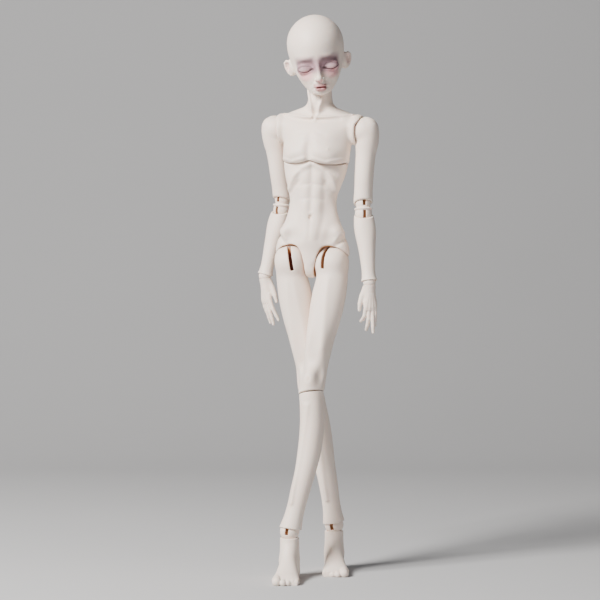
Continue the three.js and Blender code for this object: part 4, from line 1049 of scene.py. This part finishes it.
def body_hand():
    """The hands, each with its own pose of the fingers."""
    s = sizes()
    for side, mirrored in SIDES:
        clay = Clay((-17, -9, -58), (12, 22, -1), s["fine_grain"] * 0.9)
        clay.join(loft(((-3.5, 7.0, 7.0, 6.6, 6.8), (-9, 6.4, 6.6, 5.6, 6), (-15, 6.6, 6.8, 4.6, 5),
                        (-22, 7.4, 7.4, 3.8, 4.2), (-28, 7.5, 7.6, 3.2, 3.4), (-31, 6.6, 6.8, 2.4, 2.4))))
        for root, lengths, curls, thick, spread in HANDS[side]:
            points = chain(root, lengths, curls, spread)
            clay.join(tube(points, (thick * 1.15, thick * 1.12, thick, thick * 0.92, thick * 0.72)), 0.9)
            for at in points[2:4]:
                clay.swell(at, (thick, thick * 1.6, 1.2), 0.22)
            tip, before = Vector(points[4]), Vector(points[3])
            nail = tip + (before - tip) * 0.25 + Vector((0, -thick * 0.8, 0))
            clay.swell(tuple(nail), (1.3, 1.2, 1.6), -0.25)
            x, _, z = points[1]
            clay.stroke([(x * 0.6, -4.5, -14), (x, -3.8, z)], 1.0, 0.3, 2)
        thumb = [(-4.5, 2.0, -8), (-8.2, 3.0, -15.5), (-10.6, 3.6, -23), (-11.4, 4.6, -30)]
        clay.join(tube(thumb, (3.6, 3.1, 2.6, 1.75)), 2.2)
        clay.swell((-11.2, 2.6, -28.6), (1.5, 1.2, 1.8), -0.25)
        clay.cut(ball((0, 0, 0), s["wrist_ball"] + s["gap"]), 0.4)
        clay.cut(bore(0, -14, 1.9), 0.3)
        clay.piece("hand_" + side, "hand_" + side, mirrored)


# Node graphs

class Signal:
    """A socket of a node graph that works in sums and products."""

    def __init__(self, graph, socket):
        self.graph = graph
        self.socket = socket

    def maths(self, operation, *others):
        """The result of a sum that begins with this signal."""
        return self.graph.maths(operation, self, *others)

    def __add__(self, other):
        return self.maths("ADD", other)

    __radd__ = __add__

    def __sub__(self, other):
        return self.maths("SUBTRACT", other)

    def __rsub__(self, other):
        return self.graph.maths("SUBTRACT", other, self)

    def __mul__(self, other):
        return self.maths("MULTIPLY", other)

    __rmul__ = __mul__

    def __truediv__(self, other):
        return self.maths("DIVIDE", other)

    def __rtruediv__(self, other):
        return self.graph.maths("DIVIDE", other, self)

    def __abs__(self):
        return self.maths("ABSOLUTE")

    def ramp(self, low, high):
        """Rises softly from 0 at low to 1 at high."""
        made = self.graph.node("ShaderNodeMapRange", {"interpolation_type": "SMOOTHSTEP"},
                               {"Value": self, "From Min": low, "From Max": high})
        return Signal(self.graph, made.outputs["Result"])


class Graph:
    """A node graph that is written as sums."""

    def __init__(self, tree):
        self.tree = tree

    def node(self, kind, settings=None, inputs=None):
        """Any node: its type, then its settings, then its sockets by name or number."""
        made = self.tree.nodes.new(kind)
        for name, value in (settings or {}).items():
            setattr(made, name, value)
        for name, value in (inputs or {}).items():
            self.link(value, made.inputs[name])
        return made

    def link(self, value, socket):
        """Joins a signal to a socket, or sets its value."""
        if isinstance(value, Signal):
            self.tree.links.new(value.socket, socket)
        elif isinstance(value, bpy.types.NodeSocket):
            self.tree.links.new(value, socket)
        else:
            socket.default_value = value

    def maths(self, operation, *values):
        """The result of a sum of signals and numbers."""
        made = self.node("ShaderNodeMath", {"operation": operation}, dict(enumerate(values)))
        return Signal(self, made.outputs[0])

    def mix(self, factor, first, second):
        """A colour between two others."""
        made = self.node("ShaderNodeMix", {"data_type": "RGBA"}, {0: factor, 6: first, 7: second})
        return made.outputs[2]

    def noise(self, vector, scale, detail=2.0):
        """Soft noise from 0 to 1."""
        made = self.node("ShaderNodeTexNoise", {}, {"Vector": vector, "Scale": scale, "Detail": detail})
        return Signal(self, made.outputs["Fac"])

    def attribute(self, name):
        """A node that reads a value of the mesh."""
        return self.node("ShaderNodeAttribute", {"attribute_name": name})

    def where(self):
        """The place on the object that a texture starts from."""
        return self.node("ShaderNodeTexCoord").outputs["Object"]

    def place(self):
        """The three coordinates in a piece's own frame, in millimetres."""
        parts = self.node("ShaderNodeSeparateXYZ", {}, {0: self.attribute("place").outputs["Vector"]})
        return tuple(Signal(self, parts.outputs[k]) for k in range(3))


def opaque(colour):
    """A colour with its alpha."""
    return (*colour, 1.0)


def new_material(name):
    """A material with an empty graph, and the shader and graph to fill in."""
    made = bpy.data.materials.new(name)
    made.use_nodes = True
    graph = Graph(made.node_tree)
    made.node_tree.nodes.clear()
    shader = graph.node("ShaderNodeBsdfPrincipled")
    out = graph.node("ShaderNodeOutputMaterial")
    graph.link(shader.outputs["BSDF"], out.inputs["Surface"])
    return made, graph, shader


def spot(x, z, cx, cz, rx, rz, soft=0.6):
    """A soft oval mask."""
    away = ((x - cx) / rx) * ((x - cx) / rx) + ((z - cz) / rz) * ((z - cz) / rz)
    return 1 - away.ramp(1 - soft, 1 + soft)


def paint_face(graph, colour):
    """The face-up: brows, shaded sockets, blush, lashes and lips over the resin's colour."""
    look = bpy.context.scene.doll_finish
    x, y, z = graph.place()
    side = abs(x)
    front = (-1 * y).ramp(14, 24)
    wisps = graph.noise(graph.attribute("place").outputs["Vector"], 1.6, 3.0)

    def paint(mask, tone):
        return graph.mix(mask, colour, opaque(tone))
    ears = side.ramp(29.5, 32) * spot(side, z, 33, 17, 4.5, 6, 0.8) * (1 - y.ramp(2.5, 6.5))
    colour = paint(ears * 0.35, look.blush)
    colour = paint(spot(side, z, 12.5, 21.0, 16, 9.5, 0.98) * front, look.smoke)
    colour = paint(spot(side, z, 14.5, 18.2, 12, 6.4, 0.7) * front * 0.75, look.smoke)
    colour = paint(spot(side, z, 3.5, 23, 6, 8, 0.95) * front * 0.5, look.smoke)
    colour = paint(spot(side, z, 15.5, 10.4, 8.5, 5.6, 0.98) * front * 0.7, look.blush)
    colour = paint(spot(side, z, 0, 5.0, 4.4, 2.2, 0.8) * (-1 * y).ramp(36.5, 39) * 0.55, look.blush)
    colour = paint(spot(side, z, 0, 1.4, 1.6, 2.6, 0.8) * (-1 * y).ramp(34, 36) * 0.35, look.blush)
    sag = (side - 14.2) / 8.2
    # Painted highlight: the middle of each lid is painted back towards the bare resin, as if light caught
    # it.
    painted_lid_highlight = spot(side, z, 15.5, 17.6, 5.5, 1.5, 0.9) * front
    colour = paint(painted_lid_highlight * 0.16, look.resin)
    outer = (side - 7).maths("MAXIMUM", 0)
    arch = 27.2 - outer * outer * 0.016
    hair = (1 - (abs(z - arch) / (3.9 - (side - 4) * 0.08)).ramp(0.05, 1.3)) * front
    hair = hair * side.ramp(2.5, 6.5) * (1 - side.ramp(19, 25))
    colour = paint(hair * (0.4 + wisps * 0.34), look.brow)
    lid = 14.7 + sag * sag * 2.9
    line = (1 - abs(z - lid).ramp(0.25, 1.15)) * (1 - (sag * sag).ramp(0.7, 1.15)) * front
    colour = paint(line * 0.8, look.lash)
    # The lash paint darkens each eye's inner corner, and stands in there for the shade in the tear duct
    # as well.
    colour = paint(spot(side, z, 7.2, 17.2, 2.6, 1.6, 0.9) * front * 0.75, look.lash)
    # A line painted along each lid's crease in the brows' colour: liner of the face-up, and painted shade
    # in the crease as well.
    crease = 21.6 - sag * sag * 2.8
    fold = (1 - abs(z - crease).ramp(0.3, 1.5)) * (1 - (sag * sag).ramp(0.7, 1.2)) * front
    colour = paint(fold * 0.62, look.brow)
    mouth = (-1 * y).ramp(32, 34)
    level = z + x * 0.07
    colour = paint(spot(side, level, 0, -3.2, 9.0, 4.6, 0.8) * mouth * 0.9, look.lip)
    smile = -2.5 - side * side * 0.022
    middle = (1 - abs(level - smile).ramp(0.1, 1.4)) * (1 - side.ramp(7.4, 10)) * mouth
    colour = paint(middle * 0.8, look.lip_line)
    # Painted shade: dark spots in the brows' colour in the mouth's corners.
    return paint(spot(side, level, 8.2, -4.2, 2.8, 1.6, 0.95) * mouth * 0.65, look.brow)


def resin_material(name, painted):
    """Matte cast resin, warmer in its hollows."""
    look = bpy.context.scene.doll_finish
    made, graph, shader = new_material(name)
    where = graph.where()
    cloud = graph.noise(where, 22.0, 3.0)
    grain = graph.noise(where, 900.0, 2.0)
    colour = graph.mix(cloud.ramp(0.3, 0.8) * 0.4, opaque(look.resin), opaque(look.resin_shade))
    inside = Signal(graph, graph.attribute("inside").outputs["Fac"])
    if painted:
        colour = paint_face(graph, colour)
    # Painted shade: the deeper a point lies inside a slot, seam or socket, the darker and warmer its
    # colour.
    colour = graph.mix(inside.ramp(0.2, 1.6) * 0.9, colour, opaque(look.edge))
    colour = graph.mix(inside.ramp(1.2, 3.5), colour, opaque(look.slot))
    colour = graph.mix(inside.ramp(4.5, 8.0), colour, opaque(look.hollow))
    graph.link(colour, shader.inputs["Base Color"])
    graph.link(0.46 + cloud * 0.12, shader.inputs["Roughness"])
    shader.inputs["Subsurface Weight"].default_value = 0.12
    shader.inputs["Subsurface Radius"].default_value = (1.0, 0.5, 0.3)
    shader.inputs["Subsurface Scale"].default_value = 0.003
    shader.inputs["Specular IOR Level"].default_value = 0.35
    bump = graph.node("ShaderNodeBump", {}, {"Strength": 0.06, "Distance": 0.0004, "Height": grain})
    graph.link(bump.outputs["Normal"], shader.inputs["Normal"])
    return made


def elastic_material():
    """Braided elastic cord."""
    made, graph, shader = new_material("elastic")
    where = graph.where()
    braid = graph.node("ShaderNodeTexWave", {"bands_direction": "DIAGONAL"},
                       {"Vector": where, "Scale": 420.0, "Distortion": 1.5})
    weave = Signal(graph, braid.outputs["Fac"])
    colour = graph.mix(weave, (0.42, 0.24, 0.15, 1), (0.72, 0.5, 0.36, 1))
    graph.link(colour, shader.inputs["Base Color"])
    graph.link(0.7 + weave * 0.2, shader.inputs["Roughness"])
    bump = graph.node("ShaderNodeBump", {}, {"Strength": 0.5, "Distance": 0.0003, "Height": weave})
    graph.link(bump.outputs["Normal"], shader.inputs["Normal"])
    return made


def metal_material(name, dark, light, rough):
    """Bare metal with fine streaks."""
    made, graph, shader = new_material(name)
    where = graph.where()
    streak = graph.noise(where, 700.0, 2.0)
    graph.link(graph.mix(streak, dark, light), shader.inputs["Base Color"])
    graph.link(rough + streak * 0.15, shader.inputs["Roughness"])
    shader.inputs["Metallic"].default_value = 1.0
    return made


def floor_material():
    """Plain pale backdrop paper."""
    look = bpy.context.scene.doll_finish
    made, graph, shader = new_material("backdrop")
    where = graph.where()
    cloud = graph.noise(where, 3.0, 2.0)
    darker = tuple(0.96 * v for v in look.floor)
    graph.link(graph.mix(cloud, opaque(look.floor), opaque(darker)), shader.inputs["Base Color"])
    shader.inputs["Roughness"].default_value = 0.9
    return made


def make_materials():
    """Fills in the finishes that the pieces share."""
    state["resin"] = resin_material("resin", False)
    state["face"] = resin_material("painted resin", True)
    state["elastic"] = elastic_material()
    state["steel"] = metal_material("steel", (0.42, 0.41, 0.4, 1), (0.66, 0.65, 0.64, 1), 0.25)
    state["magnet"] = metal_material("magnet", (0.55, 0.55, 0.57, 1), (0.72, 0.72, 0.74, 1), 0.15)


# Stage

def add_light(name, place, size, power, warmth):
    """A soft square light, turned to the doll's middle."""
    data = bpy.data.lights.new(name, "AREA")
    data.size = size
    data.energy = power
    data.color = warmth
    made = new_object(name, data)
    made.location = place
    made.rotation_euler = (Vector((0, 0, MIDDLE)) - place).to_track_quat("-Z", "Y").to_euler()


def make_stage():
    """Camera, backdrop and soft light."""
    stage = bpy.context.scene.doll_stage
    hips = state["frames"]["torso"].translation
    away = Vector((math.sin(stage.azimuth), -math.cos(stage.azimuth), 0))
    right = Vector((math.cos(stage.azimuth), math.sin(stage.azimuth), 0))
    data = bpy.data.cameras.new("camera")
    data.lens = stage.lens
    camera = new_object("camera", data)
    camera.location = (away * stage.distance + right * (right.dot(hips) - stage.aside)
                       + Vector((0, 0, stage.height)))
    camera.rotation_euler = (math.pi / 2, 0, stage.azimuth)
    bpy.context.scene.camera = camera
    near, far, bend, wide, tall, steps = -3.0, 1.2, 1.2, 6.0, 5.0, 24
    turns = [t * math.pi / 2 / steps for t in range(steps + 1)]
    profile = [(near, 0.0), *((far + bend * math.sin(t), bend * (1 - math.cos(t))) for t in turns),
               (far + bend, tall)]
    points = []
    for along, rise in profile:
        for side in (-wide, wide):
            p = -away * along + right * side
            points.append((p.x, p.y, rise))
    faces = [(2 * k, 2 * k + 1, 2 * k + 3, 2 * k + 2) for k in range(len(profile) - 1)]
    mesh = bpy.data.meshes.new("backdrop")
    mesh.from_pydata(points, [], faces)
    mesh.polygons.foreach_set("use_smooth", [True] * len(faces))
    mesh.materials.append(floor_material())
    backdrop = new_object("backdrop", mesh)
    up = Vector((0, 0, 1))
    add_light("key", away * 1.35 - right * 1.5 + up * 1.7, 0.85, stage.key, (1.0, 0.975, 0.94))
    add_light("fill", away * 1.2 + right * 1.6 + up * 0.9, 1.4, stage.fill, (0.95, 0.97, 1.0))
    world = bpy.data.worlds.new("studio")
    world.use_nodes = True
    ground = world.node_tree.nodes["Background"]
    ground.inputs["Color"].default_value = (0.9, 0.92, 0.95, 1)
    ground.inputs["Strength"].default_value = stage.sky
    bpy.context.scene.world = world


# Cords, hooks and magnets

def cord_group():
    """A node group that sweeps a round cord along a line."""
    tree = bpy.data.node_groups.new("cord", "GeometryNodeTree")
    sockets = (("Geometry", "Geometry"), ("Radius", "Float"), ("Sides", "Int"), ("Finish", "Material"))
    for name, kind in sockets:
        tree.interface.new_socket(name, in_out="INPUT", socket_type="NodeSocket" + kind)
    tree.interface.new_socket("Geometry", in_out="OUTPUT", socket_type="NodeSocketGeometry")
    graph = Graph(tree)
    given = graph.node("NodeGroupInput").outputs
    line = graph.node("GeometryNodeMeshToCurve", {}, {"Mesh": given["Geometry"]})
    ring = graph.node("GeometryNodeCurvePrimitiveCircle", {},
                      {"Resolution": given["Sides"], "Radius": given["Radius"]})
    swept = graph.node("GeometryNodeCurveToMesh", {}, {
        "Curve": line.outputs["Curve"], "Profile Curve": ring.outputs["Curve"], "Fill Caps": True})
    smooth = graph.node("GeometryNodeSetShadeSmooth", {}, {"Geometry": swept.outputs["Mesh"]})
    whole = graph.node("GeometryNodeRealizeInstances", {}, {"Geometry": smooth.outputs["Geometry"]})
    done = graph.node("GeometryNodeSetMaterial", {},
                      {"Geometry": whole.outputs["Geometry"], "Material": given["Finish"]})
    graph.node("NodeGroupOutput", {}, {"Geometry": done.outputs["Geometry"]})
    return tree


def middle_line(node):
    """The ends of a straight cord's middle line and its radius, from the corners of its CAD node."""
    own = state["nodes"][node]
    points = np.array([own.matrix_world @ corner.co for corner in own.data.vertices])
    centre = points.mean(axis=0)
    axis = np.linalg.svd(points - centre, full_matrices=False)[2][0]
    along = (points - centre) @ axis
    radius = np.linalg.norm(points - centre - np.outer(along, axis), axis=1).max()
    return [centre + axis * end for end in (along.min(), along.max())], radius


def cord_piece(tree, node, body):
    """A straight length of elastic in place of its CAD node, swept by the node group."""
    ends, radius = middle_line(node)
    mesh = bpy.data.meshes.new(node)
    mesh.from_pydata([tuple(p) for p in ends], [(0, 1)], [])
    line = new_object(node + "_line", mesh)
    modifier = line.modifiers.new("cord", "NODES")
    modifier.node_group = tree
    wanted = {"Radius": radius, "Sides": CORD_SIDES, "Finish": state["elastic"]}
    for item in tree.interface.items_tree:
        if item.in_out == "INPUT" and item.name in wanted:
            modifier[item.identifier] = wanted[item.name]
    bpy.context.view_layer.update()
    swept = bpy.data.meshes.new_from_object(line.evaluated_get(bpy.context.evaluated_depsgraph_get()))
    bpy.data.objects.remove(line)
    made = new_object("cord_" + node, swept)
    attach(made, body)
    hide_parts(node)


def cad_finish(node, finish):
    """Gives a CAD node that is still shown its procedural finish."""
    state["nodes"][node].data.materials.clear()
    state["nodes"][node].data.materials.append(state[finish])


def make_stringing():
    """The straight cords of the limbs, and finishes for all that keeps its CAD shape."""
    tree = cord_group()
    straight = {part + "_elastic_" + side: part + "_" + side
                for part in ("upper_arm", "forearm", "thigh", "calf") for side, _ in SIDES}
    for node in state["nodes"]:
        if node in straight:
            cord_piece(tree, node, straight[node])
        for word, finish in (("elastic", "elastic"), ("hook", "steel"), ("magnet", "magnet")):
            if word in node and node not in straight:
                cad_finish(node, finish)


# Operators

def sculpt_operator(idname, label, purpose, *makers):
    """An operator that sculpts one group of like pieces."""
    def execute(self, context):
        for maker in makers:
            maker()
        return {"FINISHED"}
    return type("DOLL_OT_" + idname, (bpy.types.Operator,), {
        "__doc__": purpose, "bl_idname": "doll." + idname, "bl_label": label, "execute": execute})


class DOLL_OT_finishes(bpy.types.Operator):
    """Make the finishes that the pieces share"""
    bl_idname = "doll.finishes"
    bl_label = "Finishes"

    def execute(self, context):
        make_materials()
        return {"FINISHED"}


class DOLL_OT_stringing(bpy.types.Operator):
    """Make the elastic cords, hooks and magnets"""
    bl_idname = "doll.stringing"
    bl_label = "Stringing"

    def execute(self, context):
        make_stringing()
        return {"FINISHED"}


class DOLL_OT_stage(bpy.types.Operator):
    """Set up the camera, backdrop and light"""
    bl_idname = "doll.stage"
    bl_label = "Stage"

    def execute(self, context):
        make_stage()
        return {"FINISHED"}


PIECES = (
    sculpt_operator("trunk", "Trunk", "Sculpt the torso and the chest", body_torso, body_chest),
    sculpt_operator("head", "Head", "Sculpt the head and its cap", body_head),
    sculpt_operator("arms", "Arms", "Sculpt the arms, elbows and hands",
                    body_upper_arm, body_elbow, body_forearm, body_hand),
    sculpt_operator("legs", "Legs", "Sculpt the thighs, calves and feet",
                    body_thigh, body_calf, body_foot),
    sculpt_operator("balls", "Balls", "Sculpt the wrist, knee and ankle balls", body_balls),
)
STEPS = (DOLL_OT_finishes, *PIECES, DOLL_OT_stringing, DOLL_OT_stage)
GROUPS = (("doll_sizes", DollSizes), ("doll_pose", DollPose), ("doll_finish", DollFinish),
          ("doll_stage", DollStage))


class DOLL_PT_panel(bpy.types.Panel):
    """The doll's settings and steps"""
    bl_label = "Ball Jointed Doll"
    bl_idname = "DOLL_PT_panel"
    bl_space_type = "VIEW_3D"
    bl_region_type = "UI"
    bl_category = "Doll"

    def draw(self, context):
        for name, kind in GROUPS:
            column = self.layout.box().column()
            for setting in kind.__annotations__:
                column.prop(getattr(context.scene, name), setting)
        for step in STEPS:
            self.layout.operator(step.bl_idname)


def register():
    """Registers the settings, the operators and the panel."""
    for name, kind in GROUPS:
        bpy.utils.register_class(kind)
        setattr(bpy.types.Scene, name, PointerProperty(type=kind))
    for kind in (*STEPS, DOLL_PT_panel):
        bpy.utils.register_class(kind)


def unregister():
    """Takes everything out again, in the opposite order."""
    for kind in (DOLL_PT_panel, *reversed(STEPS)):
        bpy.utils.unregister_class(kind)
    for name, kind in reversed(GROUPS):
        delattr(bpy.types.Scene, name)
        bpy.utils.unregister_class(kind)


def main():
    """Runs every step on the packed frame, and writes the sizes before and after."""
    register()
    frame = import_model()
    state["joints"] = frame["joints"]
    state["nodes"] = frame["nodes"]
    state["frames"] = find_frames(frame["joints"])
    for step in STEPS:
        group, name = step.bl_idname.split(".")
        getattr(getattr(bpy.ops, group), name)()


if __name__ == "__main__":
    main()
